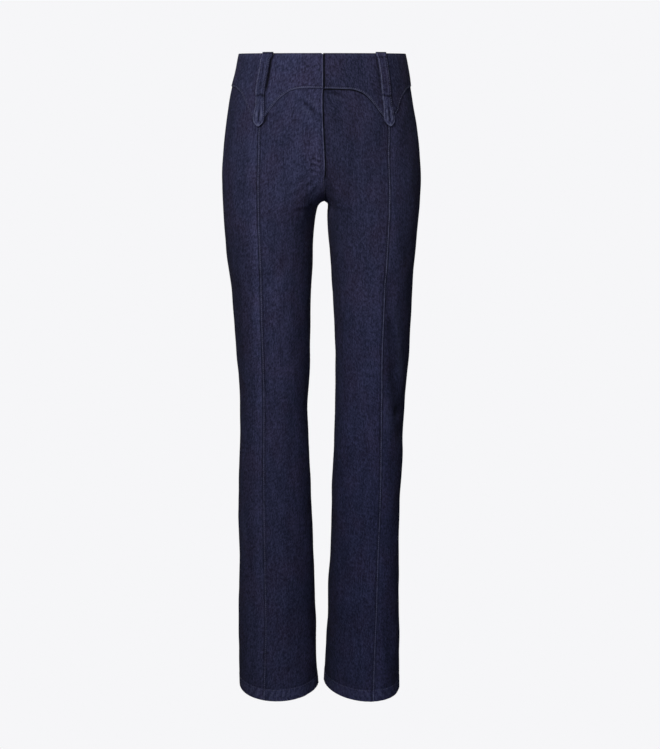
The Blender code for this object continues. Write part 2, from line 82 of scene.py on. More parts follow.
# ---------- sections: half widths outwards from x = 0, and depths from y = 0 ----------
SECTION_COLUMNS = ("z", "right_out", "left_out", "right_in", "left_in", "front", "back",
                   "roundness", "right_turn", "left_turn", "right_shift", "left_shift")
SECTIONS = np.array([
    (0.000, .1342, .1359, .0080, .0080, .0960, .0950, 2.15, 0.00, 0.00, .0000, .0000),
    (-.030, .1403, .1417, .0080, .0080, .1000, .0980, 2.17, 0.00, 0.00, .0000, .0000),
    (-.056, .1475, .1459, .0080, .0080, .1030, .1010, 2.20, 0.00, 0.00, .0000, .0000),
    (-.100, .1554, .1537, .0080, .0080, .1068, .1090, 2.22, 0.00, 0.00, .0000, .0000),
    (-.150, .1618, .1603, .0080, .0080, .1062, .1195, 2.24, 0.00, 0.00, .0000, .0000),
    (-.200, .1657, .1639, .0080, .0080, .1030, .1235, 2.24, 0.00, 0.00, .0000, .0000),
    (-.240, .1648, .1636, .0080, .0080, .0985, .1130, 2.22, 0.00, 0.00, .0000, .0000),
    (-.280, .1626, .1606, .0119, .0104, .0930, .0970, 2.16, 0.00, 0.00, .0000, .0000),
    (-.330, .1586, .1552, .0157, .0140, .0885, .0880, 2.12, 0.00, 0.00, .0000, .0000),
    (-.380, .1528, .1519, .0178, .0175, .0845, .0815, 2.10, 0.00, 0.00, .0000, .0000),
    (-.440, .1477, .1500, .0197, .0206, .0795, .0735, 2.08, 0.00, -.02, .0000, .0000),
    (-.510, .1437, .1461, .0214, .0221, .0735, .0650, 2.06, 0.00, -.04, .0000, .0000),
    (-.580, .1404, .1419, .0238, .0222, .0690, .0590, 2.05, -.01, -.05, .0000, .0000),
    (-.650, .1411, .1379, .0230, .0200, .0655, .0590, 2.05, -.01, -.06, .0000, .0000),
    (-.720, .1431, .1355, .0202, .0182, .0645, .0655, 2.05, -.02, -.08, .0000, .0000),
    (-.800, .1438, .1330, .0175, .0154, .0665, .0705, 2.04, -.03, -.10, .0000, .0000),
    (-.880, .1436, .1332, .0142, .0119, .0710, .0735, 2.04, -.02, -.12, -.001, .0010),
    (-.950, .1465, .1341, .0118, .0095, .0760, .0775, 2.04, -.02, -.13, -.002, .0020),
    (-1.02, .1460, .1345, .0104, .0068, .0810, .0815, 2.04, -.02, -.14, -.004, .0032),
    (-1.09, .1442, .1352, .0078, .0036, .0858, .0858, 2.05, -.02, -.14, -.006, .0045),
])

# front seam between the centre and the side panel, half width outwards at each height
FRONT_SEAM_COLUMNS = ("z", "right", "left")
FRONT_SEAM = np.array([
    (-.060, .0890, .0960), (-.113, .0998, .1082), (-.160, .1016, .1087),
    (-.215, .1034, .1107), (-.255, .1030, .1105), (-.330, .1009, .1072),
    (-.412, .0998, .1031), (-.500, .0983, .1009), (-.580, .0981, .1008),
    (-.660, .0992, .1005), (-.755, .0992, .0991), (-.850, .0984, .0960),
    (-.957, .0974, .0935), (-1.02, .0990, .0908), (-1.09, .1005, .0890),
])

# waistband's lower edge, from the centre front to the side seam
BAND_EDGE_COLUMNS = ("right", "right_z", "left", "left_z")
BAND_EDGE_INNER = np.array([
    (.0000, -.0545, .0000, -.0550), (.0340, -.0548, .0350, -.0558),
    (.0490, -.0585, .0540, -.0575), (.0608, -.0655, .0642, -.0615),
    (.0703, -.0745, .0737, -.0685), (.0782, -.0840, .0817, -.0775),
    (.0870, -.0960, .0930, -.0925), (.0998, -.1130, .1082, -.1120),
])
BAND_EDGE_OUTER = np.array([
    (.0998, -.1130, .1082, -.1120), (.1105, -.0990, .1165, -.0985),
    (.1161, -.0890, .1222, -.0895), (.1208, -.0780, .1260, -.0775),
    (.1272, -.0645, .1305, -.0665), (.1355, -.0560, .1365, -.0575),
    (.1440, -.0527, .1440, -.0527),
])

# belt loops: height, half width, and slack over the waistband
BACK_LOOP_ROWS = np.array([
    (.0010, .0055, 0.0), (-.006, .0055, 0.3), (-.015, .0055, 0.9), (-.027, .0055, 1.0),
    (-.040, .0055, 0.9), (-.050, .0055, 0.3), (-.058, .0055, 0.0),
])
LOOP_ROWS = np.array([
    (.0020, .0096, 0.00), (-.002, .0095, 0.20), (-.007, .0088, 0.55), (-.012, .0085, 0.80),
    (-.024, .0084, 1.00), (-.042, .0083, 0.90), (-.056, .0083, 0.50), (-.068, .0082, 0.05),
    (-.082, .0083, 0.00), (-.089, .0092, 0.00), (-.096, .0104, 0.00), (-.1035, .0106, 0.00),
    (-.1075, .0092, 0.00), (-.1105, .0066, 0.00), (-.1130, .0036, 0.00),
    (-.1148, .0008, 0.00),
])

# folds, in tenths of a millimetre: x and z of one end and of the other, height (troughs are
# below zero, ridges above), width, and bow, how far the middle of the line is bent aside
FRONT, BACK = -1.0, 1.0


def fold_rows(face, rows):
    """Rows of one face in metres, with the face before them."""
    return [(face, *(value / 1e4 for value in row)) for row in rows]


# largest soft folds, as in the solids
FOLDS = np.array(fold_rows(FRONT, (
    (1080, -3700, 1170, -5200, -22, 130, 0), (1170, -5200, 1360, -6250, -26, 140, 0),
    (-1450, -7800, -1430, -9000, 12, 140, 0), (-500, -5900, -1150, -6150, -14, 260, 0),
    (480, -6000, 1180, -5800, -12, 260, 0), (-400, -9900, -1150, -9650, -16, 260, 0),
    (400, -9850, 1180, -9600, -16, 260, 0),
)) + fold_rows(BACK, (
    (-300, -2620, -1250, -2780, -26, 180, 0), (300, -2620, 1250, -2780, -26, 180, 0),
    (-450, -5600, -1250, -5450, -26, 220, 0), (-400, -6250, -1200, -6400, -30, 220, 0),
    (450, -5600, 1250, -5450, -26, 220, 0), (400, -6250, 1180, -6400, -30, 220, 0),
    (-350, -9600, -1200, -9850, -20, 260, 0), (350, -9600, 1150, -9850, -20, 260, 0),
)))

# smaller creases that only the finished cloth has
CREASES = np.array(fold_rows(FRONT, (
    # by the fly and under the waistband
    (-290, -755, -95, -935, -34, 25, 8), (-330, -815, -150, -975, 10, 34, 8),
    (-230, -690, -60, -850, 8, 34, 8), (-440, -620, -330, -800, -7, 36, 0),
    (30, -585, 370, -690, -28, 24, 12), (60, -620, 350, -730, 10, 34, 12),
    (-130, -1600, -2, -1665, 11, 21, -12), (-150, -1630, -2, -1697, -18, 21, -14),
    (-160, -1680, -2, -1742, 13, 21, -16), (-170, -1722, -2, -1780, -19, 21, -18),
    (-180, -1775, -2, -1828, 12, 21, -18), (-190, -1818, -2, -1868, -14, 22, -18),
    (-690, -2160, -30, -1760, -10, 50, -60), (-600, -2205, -30, -1820, 8, 45, -55),
    (-540, -2260, -20, -1885, -11, 50, -50), (-400, -2290, -40, -1990, 6, 45, -35),
    (-330, -2330, -30, -2080, -9, 50, -30), (40, -1840, 500, -2140, -6, 55, 45),
    (40, -1960, 420, -2240, -8, 55, 40), (40, -2090, 330, -2330, -7, 50, 25),
    # soft lines over the thighs
    (-1520, -2120, -700, -2380, -5, 90, 40), (-1480, -2500, -600, -2720, -6, 100, 40),
    (650, -2450, 1500, -2260, -6, 90, -35), (550, -2830, 1420, -2640, -5, 110, -40),
    (-450, -3250, -1200, -3600, -5, 120, 50),
    # outer trough down the left thigh to below the knee
    (1085, -3500, 1130, -4500, -12, 60, 10), (1110, -4200, 1200, -5400, -22, 62, 10),
    (1180, -5200, 1325, -6050, -30, 68, 0), (1290, -5800, 1345, -6600, -20, 66, 0),
    (1215, -4050, 1335, -5550, 10, 60, 0), (1050, -5550, 1170, -6350, 6, 85, 20),
    # knees and shins
    (-1300, -5450, -620, -5620, -5, 100, 20), (-400, -6450, -1040, -6640, -6, 110, 20),
    (-1297, -7650, -1306, -8550, 8, 60, 0), (-1215, -7600, -1225, -8700, -6, 70, 0),
    (350, -6650, 920, -6480, -5, 110, 20), (300, -8050, 480, -9050, -6, 90, 20),
    (1000, -7400, 1180, -8600, -5, 100, -20), (-500, -8700, -380, -9600, -6, 90, 10),
    (-1380, -9650, -900, -9920, -6, 90, 20), (880, -9750, 1280, -10050, -6, 90, -20),
    (-300, -10200, -800, -10420, -6, 100, 20), (250, -10150, 700, -10380, -6, 100, -20),
)) + fold_rows(BACK, (
    # under the seat
    (-120, -2350, -800, -2620, -12, 60, 60), (120, -2350, 840, -2600, -13, 60, -60),
    (-200, -2780, -1100, -2980, -13, 75, 60), (180, -2800, 1160, -2960, -12, 80, -60),
    (-260, -3060, -900, -3180, -9, 80, 50), (240, -3120, 1000, -3260, -10, 80, -50),
    (-300, -2900, -1020, -3090, 8, 60, 50), (300, -2930, 1080, -3110, 8, 65, -50),
    (-60, -1900, -480, -2250, -8, 60, -30), (60, -1850, 520, -2220, -8, 60, 30),
    # behind the waist and hips
    (-250, -600, -560, -920, -7, 60, 15), (280, -590, 520, -880, -8, 60, -15),
    (-900, -1150, -1350, -1450, -6, 90, 30), (880, -1200, 1330, -1520, -6, 90, -30),
    # behind the knees
    (-380, -5250, -1000, -5150, -11, 80, 40), (-480, -5480, -1290, -5340, -14, 70, 50),
    (-350, -5790, -1120, -5850, -13, 75, -30), (-450, -6070, -1300, -6180, -14, 70, -50),
    (-350, -6560, -980, -6720, -12, 85, -50), (-420, -5930, -1200, -5990, 9, 60, -40),
    (380, -5200, 960, -5080, -11, 80, -40), (450, -5450, 1260, -5300, -13, 75, -50),
    (360, -5750, 1150, -5830, -14, 70, 30), (460, -6110, 1240, -6230, -13, 75, 50),
    (340, -6530, 900, -6680, -12, 85, 50), (430, -5930, 1180, -6030, 9, 60, 40),
    # calves and the break over the shoes
    (-500, -7600, -1150, -7900, -7, 110, 50), (480, -7700, 1120, -7950, -7, 110, -50),
    (-400, -9150, -1050, -9420, -9, 100, 50), (380, -9200, 1020, -9500, -9, 100, -50),
    (-450, -10050, -1150, -10300, -10, 100, 50), (400, -10100, 1080, -10320, -10, 100, -50),
)))

# long, low waves of the cloth: height, and how many a metre round and down, with a start
WAVES = np.array([
    (.00045, 9.0, 3.1, 0.4), (.00040, 5.0, -6.3, 1.9), (.00028, 17.0, 5.2, 3.3),
    (.00022, 13.0, -11.0, 5.1), (.00016, 27.0, 9.5, 0.9), (.00012, 31.0, -19.0, 2.6),
])

# ---------- the finished cloth's own sizes ----------
RING_SAMPLES = 721          # round half of a section
FRACTIONS = 1201            # shares of a section's length at which angles are kept
LEVEL_STEP = 0.002
EDGE_STEPS = np.cumsum((0, .00010, .00018, .00026, .00036, .0005, .0007, .0010, .0015, .0022))
WIDE_STEPS = np.cumsum((0, .00010, .00018, .00026, .00036, .0005, .0006, .0007, .0008,
                        .0010, .0012, .0015, .0018, .0022))
SEAM_ROLL = 0.0007          # rounded edges of the panels at a seam
BAND_ROLL = 0.0011          # of the waistband's lower and top edges
HEM_ROLL = 0.0012
LOOP_ROLL = 0.0008
THIN_ROLL = 0.0006          # of the underlap and of hidden edges
TOP_ROLL = 0.0004           # of the panels' tops
FLY_LIFT = 0.0021           # the lap's edge over the left front
FLY_OVER = 0.0010           # how far it passes the centre line
CREASE_WEAR_AND_SHADE = 150.0         # rubbed light on ridges and painted shade in troughs, for each metre of a crease's height
SEAM_OVERLAP = 0.0004       # of the centre seams, so that no light comes through
TOP_OVERLAP = 0.0006        # of the panels' tops into the waistband
CROTCH_OVERLAP = 0.0007     # closes the crease where the legs part
CROTCH_REACH = 0.0022       # how far each leg's cloth passes the centre at the crotch
CROTCH_PAINTED_LIGHT = 0.80          # painted light round the crotch, which lifts its shade
LEAN_REACH = 0.030          # the centre line leans to the left: on the band, above the crotch
LEAN = np.array([
    (.000, .0028), (-.052, .0028), (-.0575, .0008), (-.070, .0002), (-.090, .0004),
    (-.115, .0012), (-.140, .0026), (-.165, .0036), (-.200, .0044), (-.2380, .0046),
    (-.2420, .0038), (-.2480, .0020), (-.2560, .0006), (-.2650, .0000),
])
FLY_DIP = 0.0012            # of the left front under the lap's edge
LOOP_SHIFT = 0.0020         # of the right front loop's middle, to the right
LOOP_HALF = 0.0083          # usual half width of a front loop
BAND_LEVEL_Z = -0.030       # height at which the waistband's lengths are measured
BAND_USUAL_HEIGHT = 0.058
UNDERLAP_HEIGHT = 0.050
UNDERLAP_LOW_Z = -0.0542
RISE_USUAL_HEIGHT = 0.165   # of the panels, from the crotch to the waistband
TOPS_START_Z = -0.075       # first guess of where the panels end
BAND_LAP_LIFT = 0.0018      # the right waistband's end over the left one
BAND_LAP_DIP = 0.0006       # of the left one under it
BAND_LAP_CORNER = 0.0050    # radius of the right one's top corner
TAPE_OUT, TAPE_IN = -0.0038, -0.0045    # faces of the zip's tape, behind the cloth's face
TEETH_AT, PULL_AT = -0.0042, -0.0030    # middles of the teeth and of the pull tab
ZIP_TEETH = 62              # in each row
SEAM_STITCH = 0.0019        # from a seam, or a loop's edge, to its line of stitches
BAND_STITCH = 0.0024        # from a waistband's lower edge to its line of stitches
HEM_STITCH = HEM_HEIGHT - 0.0022        # height of the hem's line of stitches
STITCH_SINK = 0.0003        # of the waistband's stitches into their channel
TACK_STITCH = (0.0031, 0.0056, 0.00045)     # pitch, length and width in the bar tack
EVEN_SHARES = np.linspace(0, 1, FRACTIONS)


def smooth(at, xs, ys):
    """Cubic curve through the points (xs, ys), which keeps its end slopes beyond them."""
    order = np.argsort(xs)
    xs, ys = np.asarray(xs, float)[order], np.asarray(ys, float)[order]
    step = np.diff(xs)
    rise = np.diff(ys) / step
    slope = np.empty_like(ys)
    slope[1:-1] = (rise[:-1] * step[1:] + rise[1:] * step[:-1]) / (step[1:] + step[:-1])
    slope[0], slope[-1] = rise[0], rise[-1]
    at = np.asarray(at, float)
    k = np.clip(np.searchsorted(xs, at) - 1, 0, len(step) - 1)
    h, t = step[k], np.clip((at - xs[k]) / step[k], 0.0, 1.0)
    beyond = at - np.clip(at, xs[0], xs[-1])
    end_slope = np.where(at < xs[0], slope[0], slope[-1])
    curve = ((2 * t**3 - 3 * t**2 + 1) * ys[k] + (t**3 - 2 * t**2 + t) * h * slope[k]
             + (3 * t**2 - 2 * t**3) * ys[k + 1] + (t**3 - t**2) * h * slope[k + 1])
    return curve + beyond * end_slope


def ease(value, low, high):
    """0 below low, 1 above high, and a smooth S between."""
    t = np.clip((value - low) / (high - low), 0.0, 1.0)
    return t * t * (3 - 2 * t)


def fade(value, low, high):
    """1 below low, 0 above high, and a smooth S between."""
    return 1 - ease(value, low, high)


def within(value, low, high, start, stop):
    """0 below low, 1 from high to start, and 0 again above stop."""
    return ease(value, low, high) * fade(value, start, stop)


def section_value(name, z):
    """One column of the section table at height z, on a smooth curve."""
    return smooth(z, SECTIONS[:, 0], SECTIONS[:, SECTION_COLUMNS.index(name)])


def side_name(side):
    """The side's word in names."""
    return "right" if side < 0 else "left"


def section(side, z, angle):
    """One leg's rounded section at height z: centre, half widths inwards and outwards,
    turn, shift and depths, by the same formulas as the solids.  The arch of the crotch
    starts more softly away from the inner side."""
    out = section_value(side_name(side) + "_out", z)
    low = np.clip((RISE_TOP_Z - z) / (RISE_TOP_Z - CROTCH_Z), 0.0, 1.0)
    arch = np.sqrt(1 - np.clip(1 - (CROTCH_Z - z) / ARCH_HEIGHT, 0.0, 1.0) ** 2)
    arch = arch ** (1 + ARCH_SOFTNESS * (1 - np.abs(np.cos(angle))))
    gap = section_value(side_name(side) + "_in", z)
    part = np.clip((SPLIT_TOP_Z - z) / (SPLIT_TOP_Z - SPLIT_END_Z), 0.0, 1.0)
    centre = (out + gap) / 2 * part**2 * (3 - 2 * part) + 1e-6
    meeting = out * centre / (centre + (out - centre) * low ** RISE_POWER)
    inward = np.where(z < CROTCH_Z, centre - gap * arch, meeting)
    outward = out - centre
    turn = section_value(side_name(side) + "_turn", z)
    shift = section_value(side_name(side) + "_shift", z)
    front, back = section_value("front", z), section_value("back", z)
    inward = np.sqrt(inward**2 - (turn * back) ** 2)
    outward = np.sqrt(outward**2 - (turn * front) ** 2)
    return centre, inward, outward, turn, shift, front, back


def surface(side, z, angle):
    """A point of the cloth's outer face: a superellipse with different half widths inwards
    and outwards and depths to the front and back, sheared by turn.  The angle runs from
    the inner side (pi) round the front (pi / 2), the outer side (0) and the back."""
    z = np.asarray(z, float)
    level = np.minimum(z, 0.0)
    centre, inward, outward, turn, shift, front, back = section(side, level, angle)
    power = 2 / section_value("roundness", level)
    c, s = np.cos(angle), np.sin(angle)
    y = np.where(s > 0, -front, back) * np.abs(s) ** power
    half = np.where(c > 0, outward, inward)
    u = centre + half * np.sign(c) * np.abs(c) ** power + turn * y
    return np.stack([side * u, y + shift, np.broadcast_to(z, u.shape)], axis=-1)


def normal(side, z, angle):
    """Outward direction of the surface, by central differences."""
    turn_step, z_step = 0.01, 0.0005
    along = surface(side, z, angle + turn_step) - surface(side, z, angle - turn_step)
    up = surface(side, z + z_step, angle) - surface(side, z - z_step, angle)
    out = np.cross(up, along) * side
    return out / np.linalg.norm(out, axis=-1, keepdims=True)


def folded(point, table, fade_ends=False):
    """Sum of soft troughs and ridges: each row is a line in x and z, bent into a parabola
    by its bow, and its height falls off as a bell with the distance from the line."""
    total = np.zeros(point.shape[:-1])
    for face, x0, z0, x1, z1, height, width, bow in table:
        start = np.array([x0, z0])
        along = np.array([x1, z1]) - start
        length = np.hypot(*along)
        along /= length
        flat = point[..., [0, 2]] - start
        travel = flat @ along
        share = np.clip(travel / length, 0.0, 1.0)
        aside = flat @ np.array([-along[1], along[0]]) - bow * 4 * share * (1 - share)
        gap = np.hypot(aside, travel - share * length)
        on_face = np.clip(point[..., 1] * face / 0.02, 0.0, 1.0)
        rise = np.exp(-(gap / width) ** 2)
        if fade_ends:
            uneven = 1 + 0.25 * np.sin(9 * share + 40 * x0 + 70 * z0)
            rise *= (1 - (2 * share - 1) ** 4) * uneven
        total += on_face * height * rise
    return total


def front_angle(side, z, out):
    """The angle at which the front of the section at height z lies a distance outwards."""
    angle = np.linspace(math.pi, 0, RING_SAMPLES)
    points = surface(side, np.full(RING_SAMPLES, z), angle)
    return float(np.interp(out, points[:, 0] * side, angle))


def met(values, grid, lengths):
    """For each row of a grid, the length at which its rising numbers reach a value."""
    return np.array([np.interp(*row) for row in zip(values, grid, lengths)])


class Leg:
    """The chart of one leg's cloth: where each seam runs, and the angle round the section
    for any height and any distance along the cloth."""

    def __init__(self, side):
        self.side = side
        under = CROTCH_Z - ARCH_HEIGHT * np.linspace(0, 1, 25) ** 2
        above = CROTCH_Z + np.array([1e-5, .0004, .0010, .0018])
        even = np.arange(0.0, HEM_Z[LEFT] - 2 * LEVEL_STEP, -LEVEL_STEP)
        z = self.levels = np.unique(np.concatenate([even, under, above, [SPLIT_TOP_Z]]))
        angle = np.linspace(math.pi, -math.pi, 2 * RING_SAMPLES - 1)
        points = surface(side, z[:, None], angle[None, :])
        steps = np.linalg.norm(np.diff(points, axis=1), axis=2)
        arc = np.concatenate([np.zeros((len(z), 1)), np.cumsum(steps, axis=1)], axis=1)
        out = points[..., 0] * side
        front = slice(0, RING_SAMPLES)
        back = slice(2 * RING_SAMPLES - 2, RING_SAMPLES - 1, -1)
        seam_out = smooth(z, FRONT_SEAM[:, 0],
                          FRONT_SEAM[:, FRONT_SEAM_COLUMNS.index(side_name(side))])
        self.length = arc[:, -1]
        self.seams = {
            "centre_front": met(0 * z, out[:, front], arc[:, front]),
            "front_seam": met(seam_out, out[:, front], arc[:, front]),
            "side_seam": met([SIDE_SEAM_ANGLE] * len(z), [-angle] * len(z), arc),
            "centre_back": met(0 * z, out[:, back], arc[:, back]),
        }
        self.angles = np.array([np.interp(EVEN_SHARES * row[-1], row, angle)
                                for row in arc])
        self.edges = []
        column = BAND_EDGE_COLUMNS.index(side_name(side))
        for table in (BAND_EDGE_INNER, BAND_EDGE_OUTER):
            spots = [front_angle(side, row[column + 1], row[column]) for row in table]
            self.edges.append((np.array(spots), table[:, column + 1]))
        self.tip_angle = float(self.edges[0][0][-1])
        self.tip_z = float(self.edges[0][1][-1])

    def seam(self, name, z):
        """Arc length from the inner side to a seam at height z."""
        return np.interp(z, self.levels, self.seams[name])

    def angle(self, z, arc):
        """The angle at an arc length, blended between the nearest levels and fractions."""
        z = np.clip(z, self.levels[0], self.levels[-1])
        at = np.clip(arc / np.interp(z, self.levels, self.length), 0, 1) * (FRACTIONS - 1)
        row = np.clip(np.searchsorted(self.levels, z) - 1, 0, len(self.levels) - 2)
        column = np.clip(at.astype(int), 0, FRACTIONS - 2)
        across = at - column
        upward = (z - self.levels[row]) / (self.levels[row + 1] - self.levels[row])
        low, high = ((1 - across) * self.angles[level, column]
                     + across * self.angles[level, column + 1] for level in (row, row + 1))
        return (1 - upward) * low + upward * high

    def nearest(self, z):
        """Number of the level nearest to a height."""
        return int(np.argmin(np.abs(self.levels - z)))

    def arc_at(self, z, angle):
        """Arc length at an angle, from the level nearest to one height."""
        row = self.nearest(z)
        shares = np.interp(-np.asarray(angle, float), -self.angles[row], EVEN_SHARES)
        return shares * self.length[row]

    def band_arc(self, angle):
        """Arc length at an angle, at the height where the waistband is measured."""
        return self.arc_at(BAND_LEVEL_Z, angle)

    def band_angle(self, arc):
        """The angle at an arc length, at that height."""
        row = self.nearest(BAND_LEVEL_Z)
        return np.interp(arc / self.length[row], EVEN_SHARES, self.angles[row])

    def band_edge(self, angle):
        """Height of the waistband's lower edge at an angle."""
        inner = smooth(angle, *self.edges[0])
        outer = smooth(angle, *self.edges[1])
        low = np.where(angle > self.tip_angle, inner, outer)
        return np.where(angle <= 0, BAND_BACK_Z, np.minimum(low, BAND_BACK_Z))


LEGS = {}


class Chart:
    """Spots on one leg's cloth: heights, arcs and angles, the distances to the edges of
    their panel, and the surface's points and directions there."""

    def __init__(self, leg, z, arc, angle=None, first_gap=1.0, last_gap=1.0, low_gap=1.0,
                 top_gap=1.0):
        self.leg, self.z, self.arc = leg, np.asarray(z, float), np.asarray(arc, float)
        self.angle = leg.angle(np.minimum(self.z, 0), self.arc) if angle is None else angle
        self.first_gap, self.last_gap = first_gap, last_gap
        self.low_gap, self.top_gap = low_gap, top_gap
        self.point = leaned(surface(leg.side, self.z, self.angle))
        self.out = normal(leg.side, self.z, self.angle)
        self.creased = folded(self.point, CREASES, True)
        self.soft = folded(self.point, FOLDS) + self.creased + wave(self.point, leg.side)

    def raised(self, height):
        """The points moved outwards by a height over the folded cloth."""
        return self.point + self.out * (self.soft + height)[..., None]


def leaned(point):
    """The points moved sideways near the centre line: by an amount for each height, times
    a bump that falls to nothing at a set distance from the line."""
    near = 1 - np.clip(np.abs(point[..., 0]) / LEAN_REACH, 0.0, 1.0) ** 2
    shift = np.interp(point[..., 2], LEAN[::-1, 0], LEAN[::-1, 1])
    return point + (near**2 * shift)[..., None] * np.array([1.0, 0.0, 0.0])


def wave(point, side):
    """Low unevenness of the cloth: a sum of sines along the width, depth and height."""
    total = np.zeros(point.shape[:-1])
    for height, across, down, start in WAVES:
        round_way = point[..., 0] * across + point[..., 1] * across * 0.8
        total += height * np.sin(2 * math.pi * (round_way + point[..., 2] * down)
                                 + start + side)
    return total * ease(-point[..., 2], 0.0, 0.12)


def roll(gap, radius):
    """A rounded edge: the height falls by a quarter circle over the last radius."""
    near = np.clip(np.asarray(gap, float) / radius, 0.0, 1.0)
    return -radius * (1 - np.sqrt(1 - (1 - near) ** 2))


def bell(gap, at, half_width):
    """1 at a distance from an edge, falling off to both sides as a bell."""
    return np.exp(-((gap - at) / half_width) ** 2)


def bells(gap, *rows):
    """Lines beside an edge, added up: rows of strength, distance and half width."""
    return sum(strength * bell(gap, at, half_width) for strength, at, half_width in rows)


def channel(gap, at, depth, half_width):
    """A soft line pulled in by a row of stitches, at a distance from an edge."""
    return -depth * bell(gap, at, half_width)


def pucker(gap, along, height, reach, seed):
    """Small uneven ripples along a seam, which fade with the distance from it."""
    ripple = (np.sin(along * 640 + seed + 1.7 * np.sin(along * 47 + seed))
              * (0.55 + 0.45 * np.sin(along * 91 + 2.1 * seed)))
    ripple += 0.6 * np.sin(along * 1130 + 3 * seed + 2 * np.sin(along * 63))
    return height * ripple * np.exp(-np.asarray(gap) / reach)


def spaced(length, step, ends=(True, True), fine=EDGE_STEPS):
    """Distances along a length: fine steps at its ends, and even ones between."""
    start = fine if ends[0] else fine[:1]
    stop = fine if ends[1] else fine[:1]
    room = length - start[-1] - stop[-1]
    even = np.linspace(start[-1], length - stop[-1], max(2, round(room / step) + 1))
    return np.concatenate([start[:-1], even, length - stop[:-1][::-1]])


def loop_half(z, rows):
    """Half width of a belt loop at a height, from its table."""
    return np.interp(z, rows[::-1, 0], rows[::-1, 1])


def loop_slack(z, rows):
    """How far a belt loop stands off the waistband at a height, as a share of its bulge."""
    return np.clip(smooth(z, rows[:, 0], rows[:, 2]), 0.0, 1.0)


# ---------- meshes ----------

def grid_faces(index, flip):
    """Four-sided faces between neighbours in a grid of point numbers."""
    a, b, c, d = index[:-1, :-1], index[:-1, 1:], index[1:, 1:], index[1:, :-1]
    order = (a, d, c, b) if flip else (a, b, c, d)
    return np.stack(order, axis=-1).reshape(-1, 4)


def wall(outer, inner, uv, wear_and_shade, tone=1.0):
    """A closed wall between two grids of points, with its rim all round.  Gives points,
    faces, a UV for each point, its wear and painted shade (rubbed light above zero,
    painted shade of crevices and shadows below zero), whether it is on the inside, and
    how light its dye is, with painted light and shade in that too.  The faces turn round
    if the wall's volume comes out below zero."""
    index = np.arange(outer[..., 0].size).reshape(outer.shape[:2])
    rim = np.concatenate([index[0, :-1], index[:-1, -1], index[-1, :0:-1], index[:0:-1, 0]])
    ahead, back = np.roll(rim, -1), index.size
    faces = np.concatenate([grid_faces(index, False), grid_faces(index + back, True),
                            np.stack([ahead, rim, rim + back, ahead + back], axis=-1)])
    points = np.concatenate([outer.reshape(-1, 3), inner.reshape(-1, 3)])
    a, b, c, d = np.moveaxis(points[faces], 1, 0)
    if (a * (np.cross(b, c) + np.cross(c, d))).sum() < 0:
        faces = faces[:, ::-1]
    uv = np.concatenate([uv.reshape(-1, 2)] * 2)
    wear_and_shade, tone = (np.broadcast_to(part, index.shape).reshape(-1) for part in (wear_and_shade, tone))
    inside = np.repeat([0.0, 1.0], back)
    return (points, faces, uv, np.concatenate([wear_and_shade, 0 * wear_and_shade]), inside,
            np.concatenate([tone, tone]))


def mesh_piece(name, parts, finish, sharp=None):
    """One object from one or more sets of points and faces, and for cloth also UVs, wear and
    painted shade, inside, and tone values, which carry painted light and shade too.  A
    face whose last two corners are the same is a triangle."""
    starts = np.cumsum([0] + [len(part[0]) for part in parts])
    points = np.concatenate([part[0] for part in parts])
    faces = np.concatenate([part[1] + start for part, start in zip(parts, starts)])
    filled = np.ones(faces.shape, bool)
    filled[:, 3] = faces[:, 2] != faces[:, 3]
    corners, counts = faces[filled], filled.sum(axis=1)
    mesh = bpy.data.meshes.new(name)
    mesh.vertices.add(len(points))
    mesh.vertices.foreach_set("co", points.astype(np.float32).ravel())
    mesh.loops.add(len(corners))
    mesh.loops.foreach_set("vertex_index", corners.astype(np.int32))
    mesh.polygons.add(len(faces))
    first_corners = np.cumsum(counts) - counts
    mesh.polygons.foreach_set("loop_start", first_corners.astype(np.int32))
    mesh.update(calc_edges=True)
    if len(parts[0]) > 2:
        uv = np.concatenate([part[2] for part in parts])
        layer = mesh.uv_layers.new(name="cloth")
        layer.data.foreach_set("uv", uv[corners].astype(np.float32).ravel())
        # the first is rubbed light above zero and painted shade below it; tone also carries
        # painted light and shade
        for k, word in ((3, "wear_and_shade"), (4, "inside"), (5, "tone")):
            held = mesh.attributes.new(word, "FLOAT", "POINT")
            values = np.concatenate([part[k] for part in parts])
            held.data.foreach_set("value", values.astype(np.float32))
    mesh.shade_smooth()
    if sharp:
        mesh.set_sharp_from_angle(angle=math.radians(sharp))
    mesh.materials.append(finish)
    if mesh.validate():
        raise ValueError(name + " has faces that Blender had to repair")
    made = bpy.data.objects.new(name, mesh)
    bpy.context.scene.collection.objects.link(made)
    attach(made, BODY)
    return made


def declare_sheet(outers):
    """Measures the cut of a cloth piece: its widest row by its longest column, and its area,
    on the wall's outer grid; the sizes are neither kept nor given back."""
    widths, lengths, area = [], [], 0.0
    for grid in outers:
        across, up = np.diff(grid, axis=1), np.diff(grid, axis=0)
        widths.append(np.linalg.norm(across, axis=2).sum(axis=1).max())
        lengths.append(np.linalg.norm(up, axis=2).sum(axis=0).max())
        cells = np.cross(grid[1:, 1:] - grid[:-1, :-1], grid[1:, :-1] - grid[:-1, 1:])
        area += np.linalg.norm(cells, axis=2).sum() / 2


def cloth_piece(node, parts, finish, outers):
    """A piece of cloth in place of the solid of its name; its cut is measured but not kept."""
    made = mesh_piece("cloth_" + node, parts, finish)
    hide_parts(node)
    declare_sheet(outers)


# ---------- materials ----------

